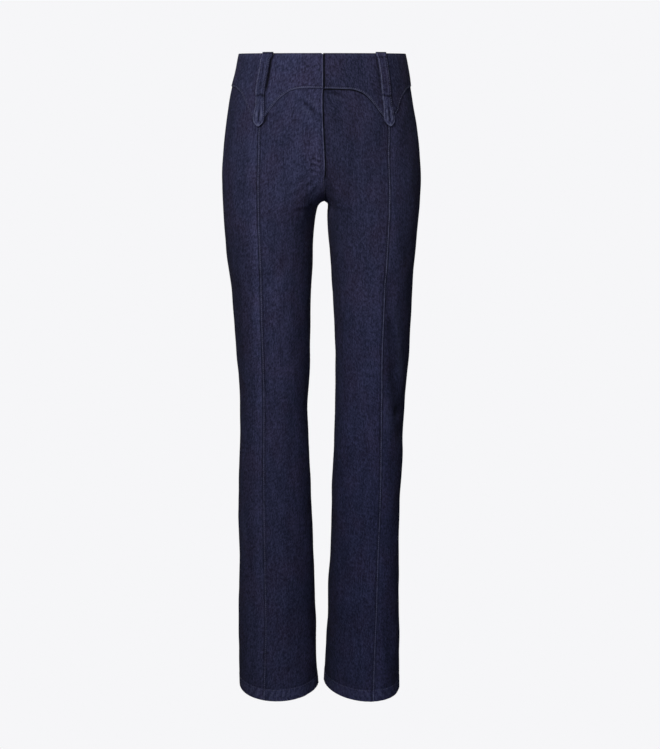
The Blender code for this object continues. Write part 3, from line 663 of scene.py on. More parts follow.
class Wire:
    """A shader socket on which Python's arithmetic adds Math nodes."""

    def __init__(self, recipe, socket):
        self.recipe, self.socket = recipe, socket

    def maths(self, operation, *values):
        """A Math node on values or wires."""
        return self.recipe.add("ShaderNodeMath", {"operation": operation},
                               dict(enumerate(values)))

    def __add__(self, other):
        return self.maths("ADD", self, other)

    def __sub__(self, other):
        return self.maths("SUBTRACT", self, other)

    def __rsub__(self, other):
        return self.maths("SUBTRACT", other, self)

    def __mul__(self, other):
        return self.maths("MULTIPLY", self, other)

    __radd__ = __add__
    __rmul__ = __mul__

    def clamped(self):
        """Kept within 0 and 1."""
        return self.maths("MINIMUM", self.maths("MAXIMUM", self, 0.0), 1.0)

    def sine(self):
        """The sine of an angle in radians."""
        return self.maths("SINE", self)


class Recipe:
    """One material: its nodes, and the shader that they feed."""

    def __init__(self, name, **constants):
        self.material = bpy.data.materials.new(name)
        self.material.use_nodes = True
        self.tree = self.material.node_tree
        self.shader = self.tree.nodes["Principled BSDF"]
        for socket, value in constants.items():
            self.shader.inputs[socket.replace("_", " ")].default_value = value

    def add(self, kind, settings=None, inputs=None, output=0):
        """Adds one node: settings first, then values or links; gives one of its outputs."""
        node = self.tree.nodes.new(kind)
        for name, value in (settings or {}).items():
            setattr(node, name, value)
        for key, value in (inputs or {}).items():
            if isinstance(value, Wire):
                self.tree.links.new(value.socket, node.inputs[key])
            else:
                node.inputs[key].default_value = value
        return Wire(self, node.outputs[output])

    def feed(self, socket, wire):
        """Links a wire to one of the shader's inputs."""
        self.tree.links.new(wire.socket, self.shader.inputs[socket])

    def place(self):
        """Coordinates on the object itself."""
        return self.add("ShaderNodeTexCoord", output=3)

    def part(self, vector, axis):
        """One number of a vector: 0, 1 or 2 for x, y or z."""
        return self.add("ShaderNodeSeparateXYZ", None, {0: vector}, axis)

    def mixed(self, factor, first, second):
        """A colour between two, by a factor."""
        return self.add("ShaderNodeMix", {"data_type": "RGBA"},
                        {0: factor, 6: first, 7: second}, 2)

    def times(self, vector, factors):
        """A vector or colour times factors, number by number."""
        return self.add("ShaderNodeVectorMath", {"operation": "MULTIPLY"},
                        {0: vector, 1: factors})

    def noise(self, vector, scale, detail, roughness, flat=True):
        """Noise of about 0 to 1 at a scale that differs by direction."""
        return self.add("ShaderNodeTexNoise", {"noise_dimensions": "2D" if flat else "3D"},
                        {"Vector": self.times(vector, scale), "Scale": 1.0,
                         "Detail": detail, "Roughness": roughness})

    def attribute(self, name):
        """One number kept with each point of the mesh."""
        return self.add("ShaderNodeAttribute", {"attribute_name": name}, output=2)

    def bump(self, height, distance, strength):
        """Fine relief, in light only."""
        self.feed("Normal", self.add("ShaderNodeBump", None, {
            "Height": height, "Distance": distance, "Strength": strength}))


def shade(colour, *factors):
    """A colour times one factor, or times one for each channel."""
    return (*(channel * factor for channel, factor in zip(colour, factors * 3)), 1.0)


FINISHES = {}


def kept(name, build, *sizes):
    """The material of a name: built once, and given again after that."""
    if name not in FINISHES:
        FINISHES[name] = build(name, *sizes)
    return FINISHES[name]


def denim(name, context, light):
    """Indigo twill.  Warp yarns run down the cloth as fine uneven streaks, with lighter
    slubs and specks, under diagonal twill ridges; large faint patches are more violet or
    more blue, and the lower legs are bluer; worn ridges and the inside are lighter.
    Crevices and shadows are painted shade, mixed towards near black, and the tone
    attribute scales the colour by the dye's lightness and by painted light and shade."""
    sizes = context.scene.jeans_denim
    # light above 1 gives a lighter copy of the denim: painted light on the waistband and loops
    indigo = tuple(channel * light for channel in sizes.indigo)
    made = Recipe(name, Roughness=0.9, Specular_IOR_Level=0.10, Sheen_Weight=0.01,
                  Sheen_Roughness=0.5)
    uv = made.add("ShaderNodeUVMap", {"uv_map": "cloth"})
    across, upward = made.part(uv, 0), made.part(uv, 1)
    slant = made.add("ShaderNodeCombineXYZ", None, {0: across * 0.62 + upward,
                                                    1: upward * 0.62 - across})
    yarn = made.noise(uv, (1150.0, 160.0, 1.0), 3.0, 0.62)
    streak = made.noise(uv, (400.0, 110.0, 1.0), 3.0, 0.60)
    slub = made.noise(uv, (270.0, 26.0, 1.0), 2.0, 0.6)
    rib = made.noise(slant, (380.0, 80.0, 1.0), 2.0, 0.55)
    speck = made.noise(uv, (540.0, 215.0, 1.0), 3.0, 0.7)
    cloud = made.noise(uv, (58.0, 11.0, 1.0), 3.0, 0.55)
    patch = made.noise(uv, (24.0, 17.0, 1.0), 1.0, 0.5)
    turns = 2 * math.pi / sizes.twill_pitch
    twill = ((across + upward) * turns + yarn * 5.0).sine() * 0.5 + 0.5
    level = (yarn - 0.5) * 1.2 + (streak - 0.5) * 1.7 + (slub - 0.5) * 0.9
    level = level + (speck - 0.5) * 3.2 + (rib - 0.5) * 1.1 + (cloud - 0.5) * 0.8
    level = level + (twill - 0.5) * 0.20
    tone = (level * sizes.contrast + 0.40).clamped()
    colour = made.mixed(tone, shade(indigo, 0.30), shade(indigo, 2.05))
    tint = ((patch - 0.40) * 3.0).clamped()
    blue, violet = shade(indigo, 0.84, 1.02, 1.10), shade(indigo, 1.30, 0.96, 1.00)
    colour = made.mixed(0.30, colour, made.mixed(tint, blue, violet))
    wear_and_shade = made.attribute("wear_and_shade")
    rubbed = (wear_and_shade * (0.55 + 0.90 * speck)).clamped()
    colour = made.mixed(rubbed, colour, (*sizes.rubbed, 1.0))
    # painted shade: below zero the colour mixes towards near-black indigo, for crevices and
    # cast shadows
    colour = made.mixed((wear_and_shade * -1.0).clamped(), colour, shade(indigo, 0.09))
    # the tone attribute scales the colour: the dye's lightness, with painted light and shade
    colour = made.add("ShaderNodeVectorMath", {"operation": "SCALE"},
                      {0: colour, 3: made.attribute("tone")})
    place = made.place()
    side, height = made.part(place, 0), made.part(place, 2)
    low = ((height * -1.0 - 0.30) * 2.4).clamped() * (side * 5.0 + 0.80).clamped()
    colour = made.mixed(low, colour, made.times(colour, (0.93, 0.98, 1.09)))
    reverse = made.mixed(tone, shade(sizes.reverse, 0.72), shade(sizes.reverse, 1.30))
    colour = made.mixed(made.attribute("inside"), colour, reverse)
    made.feed("Base Color", colour)
    made.feed("Roughness", 0.94 - tone * 0.12)
    made.bump(twill * 0.45 + yarn * 0.5 + speck * 0.6 + streak * 0.5, 0.00035, 0.6)
    return made.material


def thread(name, context):
    """Sewing thread in the cloth's tone: a fine grain over soft patches, a little glossier."""
    colour = context.scene.jeans_denim.thread
    made = Recipe(name, Roughness=0.62, Specular_IOR_Level=0.35, Sheen_Weight=0.05)
    place = made.place()
    grain = made.noise(place, (900.0, 900.0, 900.0), 2.0, 0.6, flat=False)
    patch = made.noise(place, (60.0, 60.0, 60.0), 1.0, 0.5, flat=False)
    tone = ((grain - 0.5) * 1.2 + (patch - 0.5) * 0.8 + 0.5).clamped()
    made.feed("Base Color", made.mixed(tone, shade(colour, 0.62), shade(colour, 1.45)))
    made.bump(grain, 0.0001, 0.5)
    return made.material


def tape_finish():
    """Woven zip tape: fine ribs along it."""
    made = Recipe("zip tape weave", Roughness=0.8, Specular_IOR_Level=0.25,
                  Sheen_Weight=0.1)
    uv = made.add("ShaderNodeUVMap", {"uv_map": "cloth"})
    rib = made.noise(uv, (1600.0, 160.0, 1.0), 2.0, 0.5)
    knit = made.noise(uv, (700.0, 1400.0, 1.0), 2.0, 0.6)
    tone = (rib * 0.6 + knit * 0.6 - 0.1).clamped()
    made.feed("Base Color", made.mixed(tone, (.010, .010, .018, 1), (.034, .034, .052, 1)))
    made.bump(rib + knit, 0.0002, 0.5)
    return made.material


def metal(name, colour, roughness):
    """Brushed plated steel: fine lines across it, and a little tarnish in patches."""
    made = Recipe(name, Metallic=1.0)
    place = made.place()
    brush = made.noise(place, (300.0, 300.0, 9000.0), 2.0, 0.5, flat=False)
    haze = made.noise(place, (420.0, 420.0, 420.0), 3.0, 0.55, flat=False)
    tone = (brush * 0.5 + haze * 0.6 - 0.05).clamped()
    made.feed("Base Color", made.mixed(tone, shade(colour, 0.62), shade(colour, 1.15)))
    made.feed("Roughness", roughness + haze * 0.16)
    made.bump(brush, 0.00005, 0.4)
    return made.material


# ---------- leg panels ----------

PANELS = {
    # kind: first seam, last seam, nominal width, where its weave starts, seam it runs along
    "front_centre": ("centre_front", "front_seam", 0.105, 0.0, "front_seam"),
    "front_side": ("front_seam", "side_seam", 0.090, 0.41, "front_seam"),
    "back": ("side_seam", "centre_back", 0.215, 0.83, "side_seam"),
}


def panel_tops(leg, first, last, shares):
    """Heights at which a panel's columns meet the waistband's lower edge, by steps that
    halve towards the meeting of the column and the edge."""
    z = np.full(len(shares), TOPS_START_Z)
    for _ in range(40):
        start, end = leg.seam(first, z), leg.seam(last, z)
        z = 0.5 * z + 0.5 * leg.band_edge(leg.angle(z, start + (end - start) * shares))
    if last == "front_seam":
        z[-1] = leg.tip_z
    if first == "front_seam":
        z[0] = leg.tip_z
    return z


def panel_chart(leg, kind, z, shares, tops):
    """Chart of spots at shares of the way across a panel."""
    first, last = PANELS[kind][:2]
    start, end = leg.seam(first, z), leg.seam(last, z)
    closing = (SEAM_OVERLAP + CROTCH_OVERLAP * crotch_zone(z)) * (z > CROTCH_Z)
    if kind == "front_centre":
        start = start - closing
        if leg.side < 0:
            start = start - FLY_OVER * ease(z, FLY_END_Z, FLY_END_Z + 0.012)
    if kind == "back":
        end = end + closing
    width = end - start
    return Chart(leg, z, start + width * shares, first_gap=width * shares,
                 last_gap=width * (1 - shares), low_gap=z - HEM_Z[leg.side],
                 top_gap=tops - z)


def fly_lift(chart, kind):
    """The lap of the right front stands over the left front, which dips under it."""
    if kind != "front_centre":
        return np.zeros(chart.z.shape)
    on = ease(chart.z, FLY_END_Z - 0.004, FLY_END_Z + 0.014)
    if chart.leg.side < 0:
        return FLY_LIFT * on * fade(chart.first_gap, 0.0015, 0.013)
    return -FLY_DIP * on * fade(chart.first_gap, 0.001, 0.006)


def crotch_reach(chart):
    """Sideways shift of the cloth at the crotch, over the centre line: a bell round the
    point where the two legs meet, so that no light comes through there."""
    away = (chart.point[..., 1] / .0070) ** 2 + ((chart.z - CROTCH_Z) / .0016) ** 2
    return -chart.leg.side * CROTCH_REACH * np.exp(-away)


def crotch_zone(z):
    """1 where the two legs' cloth meets in a crease, up to just under the crotch."""
    return within(-z, .185, .215, .2400, .2450)


def panel_relief(chart, kind):
    """Fine form of a panel's face: rolled edges, the ridge of pressed turnings on one side
    of each seam, the line pulled in by its stitches, puckers and the hem's roping."""
    z, first, last, low = chart.z, chart.first_gap, chart.last_gap, chart.low_gap
    side = chart.leg.side
    height = roll(low, HEM_ROLL) + roll(chart.top_gap, TOP_ROLL)
    for gap, meets in ((first, kind == "front_centre"), (last, kind == "back")):
        joined = crotch_zone(z) * meets
        height += roll(gap, SEAM_ROLL) * (1 - joined) + 0.0005 * joined * bell(gap, 0, .003)
    if kind == "front_centre":
        height += 0.00055 * fade(last, 0.0048, 0.0066)
        height += channel(last, SEAM_STITCH, 0.00030, 0.0008)
        height += pucker(last, z, 0.00012, 0.0060, 1.0 + side)
        height += pucker(first, z, 0.00010, 0.0050, 2.2)
        if side < 0:
            below_fly = fade(z, FLY_END_Z - 0.008, FLY_END_Z)
            height += 0.0004 * below_fly * fade(first, 0.0045, 0.0062)
    if kind == "front_side":
        height += pucker(first, z, 0.00014, 0.0060, 3.0 + side)
        height += pucker(last, z, 0.00010, 0.0050, 4.0)
    if kind == "back":
        height += 0.00045 * fade(first, 0.0060, 0.0078)
        height += pucker(first, z, 0.00014, 0.0070, 5.0)
        height += pucker(last, z, 0.00014, 0.0070, 6.0)
        if side > 0:
            seam = 0.00045 * fade(last, .0045, .0062)
            seam += channel(last, SEAM_STITCH, 0.00028, 0.0008)
            height += ease(z, CROTCH_Z, CROTCH_Z + 0.01) * seam
    # hem: two layers, a stitched line, and slanting ropes of twisted cloth
    in_hem = fade(low, HEM_HEIGHT - 0.0012, HEM_HEIGHT + 0.0014)
    height += in_hem * (0.00042 + 0.00020 * hem_rope(chart))
    height += channel(low, HEM_STITCH, 0.00034, 0.0009)
    height += pucker(np.abs(chart.top_gap), chart.arc, 0.00016, 0.0070, 7.0)
    return height


def hem_rope(chart):
    """Slanting ropes of a twisted hem, uneven in spacing and strength."""
    slant = chart.arc + 0.55 * chart.z
    strength = 0.6 + 0.4 * np.sin(41 * chart.arc + 2)
    return strength * np.sin(560 * slant + 2.6 * np.sin(60 * chart.arc))


def panel_wear_and_shade(chart, kind):
    """Rubbed light where the cloth stands up: along seams, the hem's edge and the lap.  Below
    zero is painted shade: in the crevices beside the seams and just above the hem, and the
    painted shadows under the lap's edge, under the waistband's edge and beside the tabs."""
    z, first, last, low = chart.z, chart.first_gap, chart.last_gap, chart.low_gap
    right = chart.leg.side < 0
    uneven = 1 + 0.35 * np.sin(z * 310 + 2 * np.sin(z * 83))
    blotch = np.sin(chart.point[..., 0] * 610 + 5 * np.sin(low * 300)) * np.sin(low * 640)
    wear_and_shade = 0.18 * hem_rope(chart) + 0.10 * blotch
    wear_and_shade *= fade(low, HEM_HEIGHT - .004, HEM_HEIGHT)
    # a rubbed hem edge, and a painted shadow line just above the hem
    wear_and_shade += bells(low, (0.22, 0, .0020), (0.12, .012, .0060),
                  (-0.30, HEM_HEIGHT + .0010, .0010))
    # painted shadow under the waistband's edge
    wear_and_shade -= 0.55 * bell(np.abs(chart.top_gap), .0004, .0013)
    # creases: rubbed lighter on ridges, painted shade in troughs
    wear_and_shade += CREASE_WEAR_AND_SHADE * chart.creased
    if kind == "front_centre":
        light = 0.86 + 0.30 * np.sin(z * 690 + 3 * np.sin(z * 131))
        light *= uneven * (0.36 if right else 0.72)
        sunk = 1 - (0.5 if right else 0.15) * ease(-z, .50, .80)
        # rubbed light along the seam and a painted shadow line beside it
        wear_and_shade += sunk * bells(last, (light, .0010, .0008), (-0.50, .0040, .0013))
        lap = ease(z, FLY_END_Z - 0.006, FLY_END_Z + 0.006)
        if right:
            # rubbed light on the lap's edge and a painted shadow line beside it
            wear_and_shade += lap * bells(first, (uneven * 0.52, .0005, .0012), (-0.25, .0036, .0016))
        else:
            # painted shadow of the lap's edge on the left front
            wear_and_shade -= lap * 1.3 * bell(first, .0022, .0020)
            # painted shadow under the waistband's edge
            wear_and_shade -= 0.90 * bell(chart.top_gap, .0014, .0013)
        # below the fly, rubbed light and painted shade in the seam's crevice
        wear_and_shade += (1 - lap) * bells(first, (0.14, .0016, .0009), (-0.70, 0, .0009))
    if kind == "front_side":
        sunk = 1 - 0.5 * ease(-z, .50, .80)
        # painted shade in the seams' crevices
        wear_and_shade += bells(first, (-0.75 * sunk, .0003, .0012), (0.08, .0035, .0014))
        wear_and_shade += bells(last, (0.08, .0014, .0012), (-0.5, 0, .0008))
    if kind == "back":
        # rubbed light and painted shade beside the back's seams
        wear_and_shade += bells(first, (0.16, .0012, .0011), (-0.30, .0072, .0014))
        wear_and_shade += bells(last, (0.12, .0014, .0012), (-0.5, 0, .0008))
    else:
        beside = last if kind == "front_centre" else first
        to_right = (kind == "front_centre") == right
        # painted shadow beside the loops' tabs, strongest on one side
        by_tab = ease(z, -.1175, -.1140) * bell(beside - loop_half(z, LOOP_ROWS), .0009, .0015)
        wear_and_shade -= (0.95 if to_right else 0.45) * by_tab
    return wear_and_shade


def panel_tone_and_painted_light(chart, kind):
    """How light a panel's dye is, with painted light and shade in it: a hem rubbed lighter;
    painted light on the right front by the lap's edge, round the crotch and along the
    thighs' middles; painted shade on the left front by the lap and above the crotch, on
    the thighs' sides, inside the lower legs and below the knees."""
    x, z, first, right = chart.point[..., 0], chart.z, chart.first_gap, chart.leg.side < 0
    middle, edge = 0.3, 0.0
    if kind != "back":
        middle = bells(x, (1, -.074, .032), (0.35, .09, .03))
        edge = (ease(-x, .115, .145) + ease(-x, -.050, -.020)) * ease(-z, .24, .30)
    tone = 1 + 0.24 * fade(chart.low_gap, HEM_HEIGHT - 0.003, HEM_HEIGHT + 0.002)
    # painted shade below the knees, darker towards the hems
    tone -= 0.13 * ease(-z, 0.50, 0.85)
    # painted light along the thighs' middles and painted shade on their sides
    tone *= 1 + bell(z, -0.42, 0.17) * (0.22 * middle - 0.10 * edge)
    # painted light round the crotch
    tone *= 1 + CROTCH_PAINTED_LIGHT * bell(np.hypot(x - .004, z - CROTCH_Z), 0, .024)
    if kind == "front_side":
        tone *= 1 + 0.16 * bell(first, .0085, .0065)
        if right:
            by_seam = 0.20 * bell(first, .0060, .0085)
            tone *= 1 + by_seam * within(z, -.62, -.54, -.24, -.20)
        else:
            tone *= 1 - 0.18 * bell(z, -.47, .12)
    # painted shade on the left front, most above the crotch
    if kind != "back" and not right:
        tone *= 0.96 - 0.10 * ease(z, -0.26, -0.20)
    if kind == "front_centre":
        inner = fade(first, .010, .045) * ease(-z, .45, .75)
        # painted shade inside the lower legs
        tone *= 1 - inner * (0.10 if right else 0.20)
        by_fly = ease(z, -0.30, -0.16) * fade(first, 0.0, 0.075)
        # painted light on the right front by the fly, painted shade on the left front
        tone *= 1 + by_fly * (0.16 if right else -0.14)
    return tone


def panel_rows(side, tops, step):
    """Heights of a panel's rows: fine at the hem, the crotch and the waistband."""
    hem, turn = HEM_Z[side], CROTCH_Z + 0.0006
    hem_rows = hem + np.concatenate([
        EDGE_STEPS, np.linspace(.0092, .0168, 4), np.linspace(.0180, .0250, 15)])
    even = np.linspace(hem + .0275, -.2560, 258)
    arch = CROTCH_Z - ARCH_HEIGHT * np.linspace(1, 0, 15)[:-1] ** 1.7
    low = np.concatenate([hem_rows, even, arch[arch > -.2545], [CROTCH_Z + 2e-5, turn]])
    parts = spaced(RISE_USUAL_HEIGHT, step, (False, True))[1:] / RISE_USUAL_HEIGHT
    low = np.repeat(low[:, None], len(tops), axis=1)
    high = turn + (tops[None, :] - turn) * parts[:, None]
    return np.concatenate([low, high])


def leg_panel(context, leg, kind):
    """One panel: its rows go up from the hem, and its columns across from seam to seam."""
    sizes = context.scene.jeans_cloth
    first, last, width, offset, grain_seam = PANELS[kind]
    fine = kind == "front_centre"
    shares = spaced(width, 0.0016 if fine else 0.0029, fine=WIDE_STEPS) / width
    tops = panel_tops(leg, first, last, shares) + TOP_OVERLAP
    z = panel_rows(leg.side, tops, 0.0015 if fine else 0.0031)
    chart = panel_chart(leg, kind, z, np.broadcast_to(shares, z.shape),
                        np.broadcast_to(tops, z.shape))
    lift = fly_lift(chart, kind)
    in_hem = fade(chart.low_gap, HEM_HEIGHT - 0.0010, HEM_HEIGHT + 0.0010)
    thickness = sizes.thickness + (sizes.hem_thickness - sizes.thickness) * in_hem
    outer = chart.raised(lift + panel_relief(chart, kind))
    inner = chart.raised(lift - thickness)
    inner[0, :, 2] = outer[0, :, 2]
    if kind != "front_side":
        reach = crotch_reach(chart)
        outer[..., 0] += reach
        inner[..., 0] += reach
    across = chart.arc - leg.seam(grain_seam, chart.z)
    uv = np.stack([across + offset + (leg.side > 0) * 1.37, chart.z], axis=-1)
    shell = wall(outer, inner, uv, panel_wear_and_shade(chart, kind), panel_tone_and_painted_light(chart, kind))
    word = side_name(leg.side)
    band = "cloth_waistband_" + ("back" if kind == "back" else "front_" + word)
    cloth_piece(kind + "_" + word, [shell], kept("indigo denim", denim, context, 1.0),
                [outer])


# ---------- waistband ----------

def band_chart(leg, angle, shares, drops, low=None):
    """Chart of a waistband length: columns at fixed angles, and rows at shares of its
    height, which ends below the top edge by the drops."""
    low = leg.band_edge(angle) if low is None else low
    top = -np.broadcast_to(drops, low.shape)
    z = low + (top - low) * shares[:, None]
    arc = np.broadcast_to(leg.band_arc(angle), z.shape)
    return Chart(leg, z, arc, np.broadcast_to(angle, z.shape), low_gap=z - low,
                 top_gap=top - z)


def band_relief(chart, first_gap, last_gap):
    """A waistband's face: rolled edges, a line pulled in by its stitches, a slight crown
    between its edges, and puckers along the stitches."""
    arc = chart.arc
    steep = np.gradient(chart.z[0], arc[0] + 1e-9 * np.arange(arc.shape[1]))
    low, top = chart.low_gap / np.sqrt(1 + steep**2), chart.top_gap
    height = roll(low, BAND_ROLL) + roll(top, BAND_ROLL)
    height += roll(first_gap, SEAM_ROLL) + roll(last_gap, SEAM_ROLL)
    height += channel(low, BAND_STITCH, 0.00034, 0.0009)
    height += 0.00030 * ease(low, 0.003, 0.015) * ease(top, 0.0, 0.012)
    height += pucker(np.abs(low - BAND_STITCH), arc, 0.00022, 0.0050, 8.0)
    ripple = np.sin(arc * 410 + 3 * np.sin(arc * 33)) * np.exp(-low / 0.020)
    height += 0.00010 * ripple * ease(low, 0.002, 0.012)
    return height


def band_wear_and_shade(chart, first_gap, last_gap):
    """Rubbed light and a painted highlight on a waistband's lower edge, painted shade in its
    line of stitches and along its top, the painted shadow of the right end over the left one,
    and the painted shadows beside the loops.
    """
    z, arc, low, leg = chart.z, chart.arc, chart.low_gap, chart.leg
    uneven = 1 + 0.35 * np.sin(arc * 290 + 2 * np.sin(arc * 71))
    # rubbed light with a painted highlight on the lower edge, painted shade in the line of
    # stitches
    wear_and_shade = bells(low, (uneven * 0.42, .0007, .0011), (-0.30, .0032, .0010))
    # painted shade along the top edge
    wear_and_shade += bells(chart.top_gap, (-0.55, 0, .0012), (0.10, .0035, .0020))
    if chart.angle[0, 0] > 0:
        pick = 0.30 + 0.30 * np.sin(arc * 1500)
        if leg.side < 0:
            # rubbed light on the right end's edge and a painted shadow line beside it
            wear_and_shade += bells(first_gap, (0.54, .0006, .0012), (-0.30, .0042, .0016))
            pick = 0.5 * pick
        else:
            # painted shadow of the right end on the left one
            wear_and_shade -= 1.5 * bell(first_gap, .0013, .0017)
            pick = 0.14 + pick
        # painted highlight along the lower edge
        wear_and_shade += pick * ease(-z, .036, .046) * bell(low, .0006, .0010)
        half = loop_half(z, LOOP_ROWS)
        beside = (arc - leg.band_arc(leg.tip_angle)) * leg.side - loop_shift(leg.side, z)
        held = 1 - 0.7 * ease(-z, .052, .062)
        # painted shadows beside the loops, stronger on their right
        wear_and_shade -= 1.25 * held * bell(beside - half, .0010, .0019)
        wear_and_shade -= 0.60 * held * bell(-beside - half, .0006, .0014)
    return wear_and_shade


def corner_drop(gap, radius):
    """How far a rounded corner falls below the edge, at a distance from its side."""
    near = 1 - np.clip(gap / radius, 0.0, 1.0)
    return radius * (1 - np.sqrt(1 - np.minimum(near, 0.985) ** 2))


def band_angles(leg, start, end, step, keep=()):
    """Angles of a waistband's columns, even along the cloth, with fine ends."""
    arcs = leg.band_arc(np.array([start, end]))
    angles = leg.band_angle(arcs[0] + spaced(arcs[1] - arcs[0], step, fine=WIDE_STEPS))
    angles = np.concatenate([[start], angles[1:-1], [end], keep])
    return np.sort(np.unique(np.round(angles, 7)))[::-1]


BAND_SHARES = spaced(BAND_USUAL_HEIGHT, 0.0024, fine=WIDE_STEPS) / BAND_USUAL_HEIGHT


def band_walls(context, leg, angle, lift, drops, gaps):
    """Chart, outer and inner grids of one waistband length."""
    chart = band_chart(leg, angle, BAND_SHARES, drops)
    outer = chart.raised(BAND_PROUD + lift + band_relief(chart, *gaps))
    inner = chart.raised(BAND_PROUD + lift - context.scene.jeans_cloth.band_thickness
                         - roll(chart.low_gap, THIN_ROLL) - roll(chart.top_gap, BAND_ROLL))
    inner[-1, :, 2] = outer[-1, :, 2]
    return chart, outer, inner


def finish_band(context, node, parts, outers):
    """One waistband length in place of its solid."""
    # a lighter copy of the denim: painted light
    cloth_piece(node, parts, kept("indigo denim band", denim, context, 1.10),
                outers)


def band_lift(leg, gap):
    """The right waistband's folded end stands over the left one, which dips under it: the
    lift at a distance from the centre line."""
    if leg.side < 0:
        return BAND_LAP_LIFT * fade(gap, 0.002, 0.016)
    return -BAND_LAP_DIP * fade(gap, 0.001, 0.009)


def waistband_front(context, leg):
    """A front length from the centre to the side seam.  The right one's folded end stands
    over the left one and has a rounded top corner; the left one runs on behind it."""
    angle = band_angles(leg, math.pi / 2, -SIDE_SEAM_ANGLE, 0.0026,
                        leg.tip_angle + np.array([-.012, -.006, 0, .006, .012]))
    arcs = leg.band_arc(angle)
    gaps = arcs - arcs[0], arcs[-1] - arcs
    drops = corner_drop(gaps[0], BAND_LAP_CORNER) if leg.side < 0 else 0.0
    chart, outer, inner = band_walls(context, leg, angle, band_lift(leg, gaps[0]), drops,
                                     gaps)
    uv = np.stack([chart.arc + 2.1 + (leg.side > 0), chart.z], axis=-1)
    # painted shade: the left front length is made darker than the right
    tone = 0.75 if leg.side > 0 else 1.0
    parts = [wall(outer, inner, uv, band_wear_and_shade(chart, *gaps), tone)]
    outers = [outer]
    if leg.side > 0:
        outer, part = underlap()
        parts.append(part)
        outers.append(outer)
    finish_band(context, "waistband_front_" + side_name(leg.side), parts, outers)


def underlap():
    """The thin end of the left waistband behind the right one: a strip that follows the
    right side's surface, below the top edge, and ends just past the centre line."""
    leg = LEGS[RIGHT]
    reach = UNDERLAP_REACH - spaced(UNDERLAP_REACH + 0.006, 0.0024)
    angles = leg.angles[leg.nearest(BAND_LEVEL_Z)][:FRACTIONS // 2]
    points = surface(RIGHT, np.full(len(angles), BAND_LEVEL_Z), angles)
    angle = np.interp(reach, -points[:, 0], angles)
    shares = spaced(UNDERLAP_HEIGHT, 0.0026) / UNDERLAP_HEIGHT
    chart = band_chart(leg, angle, shares, UNDERLAP_DROP, np.full(len(angle), UNDERLAP_LOW_Z))
    edges = (roll(gap, THIN_ROLL)
             for gap in (UNDERLAP_REACH - reach, chart.low_gap, chart.top_gap))
    outer = chart.raised(UNDERLAP_OUT + sum(edges))
    inner = chart.raised(UNDERLAP_IN + 0 * chart.z)
    uv = np.stack([chart.arc + 4.3, chart.z], axis=-1)
    return outer, wall(outer, inner, uv, 0.0)


def waistband_back(context):
    """The back length, round both sides to the side seams."""
    grids = []
    for side in (RIGHT, LEFT):
        leg = LEGS[side]
        angle = band_angles(leg, -SIDE_SEAM_ANGLE, -math.pi / 2, 0.0027)
        arcs = leg.band_arc(angle)
        gaps = arcs - arcs[0], np.full(len(arcs), 1.0)
        chart, outer, inner = band_walls(context, leg, angle, 0.0, 0.0, gaps)
        uv = np.stack([side * (chart.arc - arcs[-1]) + 6.0, chart.z], axis=-1)
        grids.append((outer, inner, uv, band_wear_and_shade(chart, *gaps)))
    joined = [np.concatenate([right[:, :-1], left[:, ::-1]], axis=1)
              for right, left in zip(*grids)]
    finish_band(context, "waistband_back", [wall(*joined)], [joined[0]])


# ---------- belt loops ----------

def loop_shift(side, z):
    """The right front loop lies a little further right between its top and its tab."""
    return -LOOP_SHIFT * (side < 0) * within(-z, .001, .012, .058, .085)


MIDDLE = 0.0
LOOPS = {
    # side: name, table, row step, end of its lines of stitches, points on each of them
    RIGHT: ("front_right", LOOP_ROWS, 0.0016, -0.1090, 150),
    LEFT: ("front_left", LOOP_ROWS, 0.0016, -0.1090, 150),
    MIDDLE: ("back", BACK_LOOP_ROWS, 0.0018, -0.0565, 90),
}


def loop_chart(side, z, distance, half_width, slack):
    """Chart of a loop.  A front one's distances across run from the waistband's drop; the
    back one lies across the centre line, on both legs' charts."""
    level = np.minimum(z, 0.0)
    if side == MIDDLE:
        leg = LEGS[LEFT]
        chart = Chart(leg, z, leg.seam("centre_back", level) - np.abs(distance))
        for grid in (chart.point, chart.out):
            grid[..., 0] = np.where(distance < 0, -1, 1) * np.abs(grid[..., 0])
    else:
        leg = LEGS[side]
        tip = np.array([leg.arc_at(one, leg.tip_angle) for one in level[:, 0]])[:, None]
        chart = Chart(leg, z, tip + distance + side * loop_shift(side, z))
    chart.first_gap = half_width + distance
    chart.last_gap = half_width - distance
    chart.low_gap, chart.top_gap = z - z.min(), z.max() - z
    chart.under = BAND_PROUD + SEAM_GAP + slack * LOOP_BULGE
    chart.across = distance
    return chart


def loop_relief(chart, tabbed):
    """A loop's face: rolled edges, two stitched lines, a soft ridge along its middle and,
    on a front one, a fold across it where the tab is sewn down and a groove in the tab."""
    z, across = chart.z, chart.across
    edge = np.minimum(chart.first_gap, chart.last_gap)
    height = roll(edge, LOOP_ROLL) + roll(chart.top_gap, LOOP_ROLL)
    height += roll(chart.low_gap, THIN_ROLL)
    height += channel(edge, 0.0021, 0.00036, 0.0007)
    ripple = np.sin(z * 760 + 2 * np.sin(z * 170) + 90 * across)
    height += 0.00018 * ripple * np.exp(-edge / 0.004)
    if tabbed:
        height += bells(tab_fold(chart), (-0.00085, 0, .0010), (0.00050, .0027, .0015),
                        (0.00025, -.0024, .0014))
        sides = 0.00040 * bell(np.abs(across), .0040, .0022)
        height += tab_groove(chart) * (sides - 0.00090 * bell(across, 0, .0010))
        pleats = within(-z, .064, .070, .086, .092)
        height += 0.00022 * pleats * np.cos(across * 1080)
        above = fade(-z, 0.058, 0.066)
        height += 0.00034 * above * np.cos(across * 980 + chart.leg.side * 0.6)
    return height


def tab_fold(chart):
    """Distance above the crease where the loop turns into its tab."""
    return chart.z + 0.0665 + 0.0012 * np.sin(chart.across * 300 + chart.leg.side)


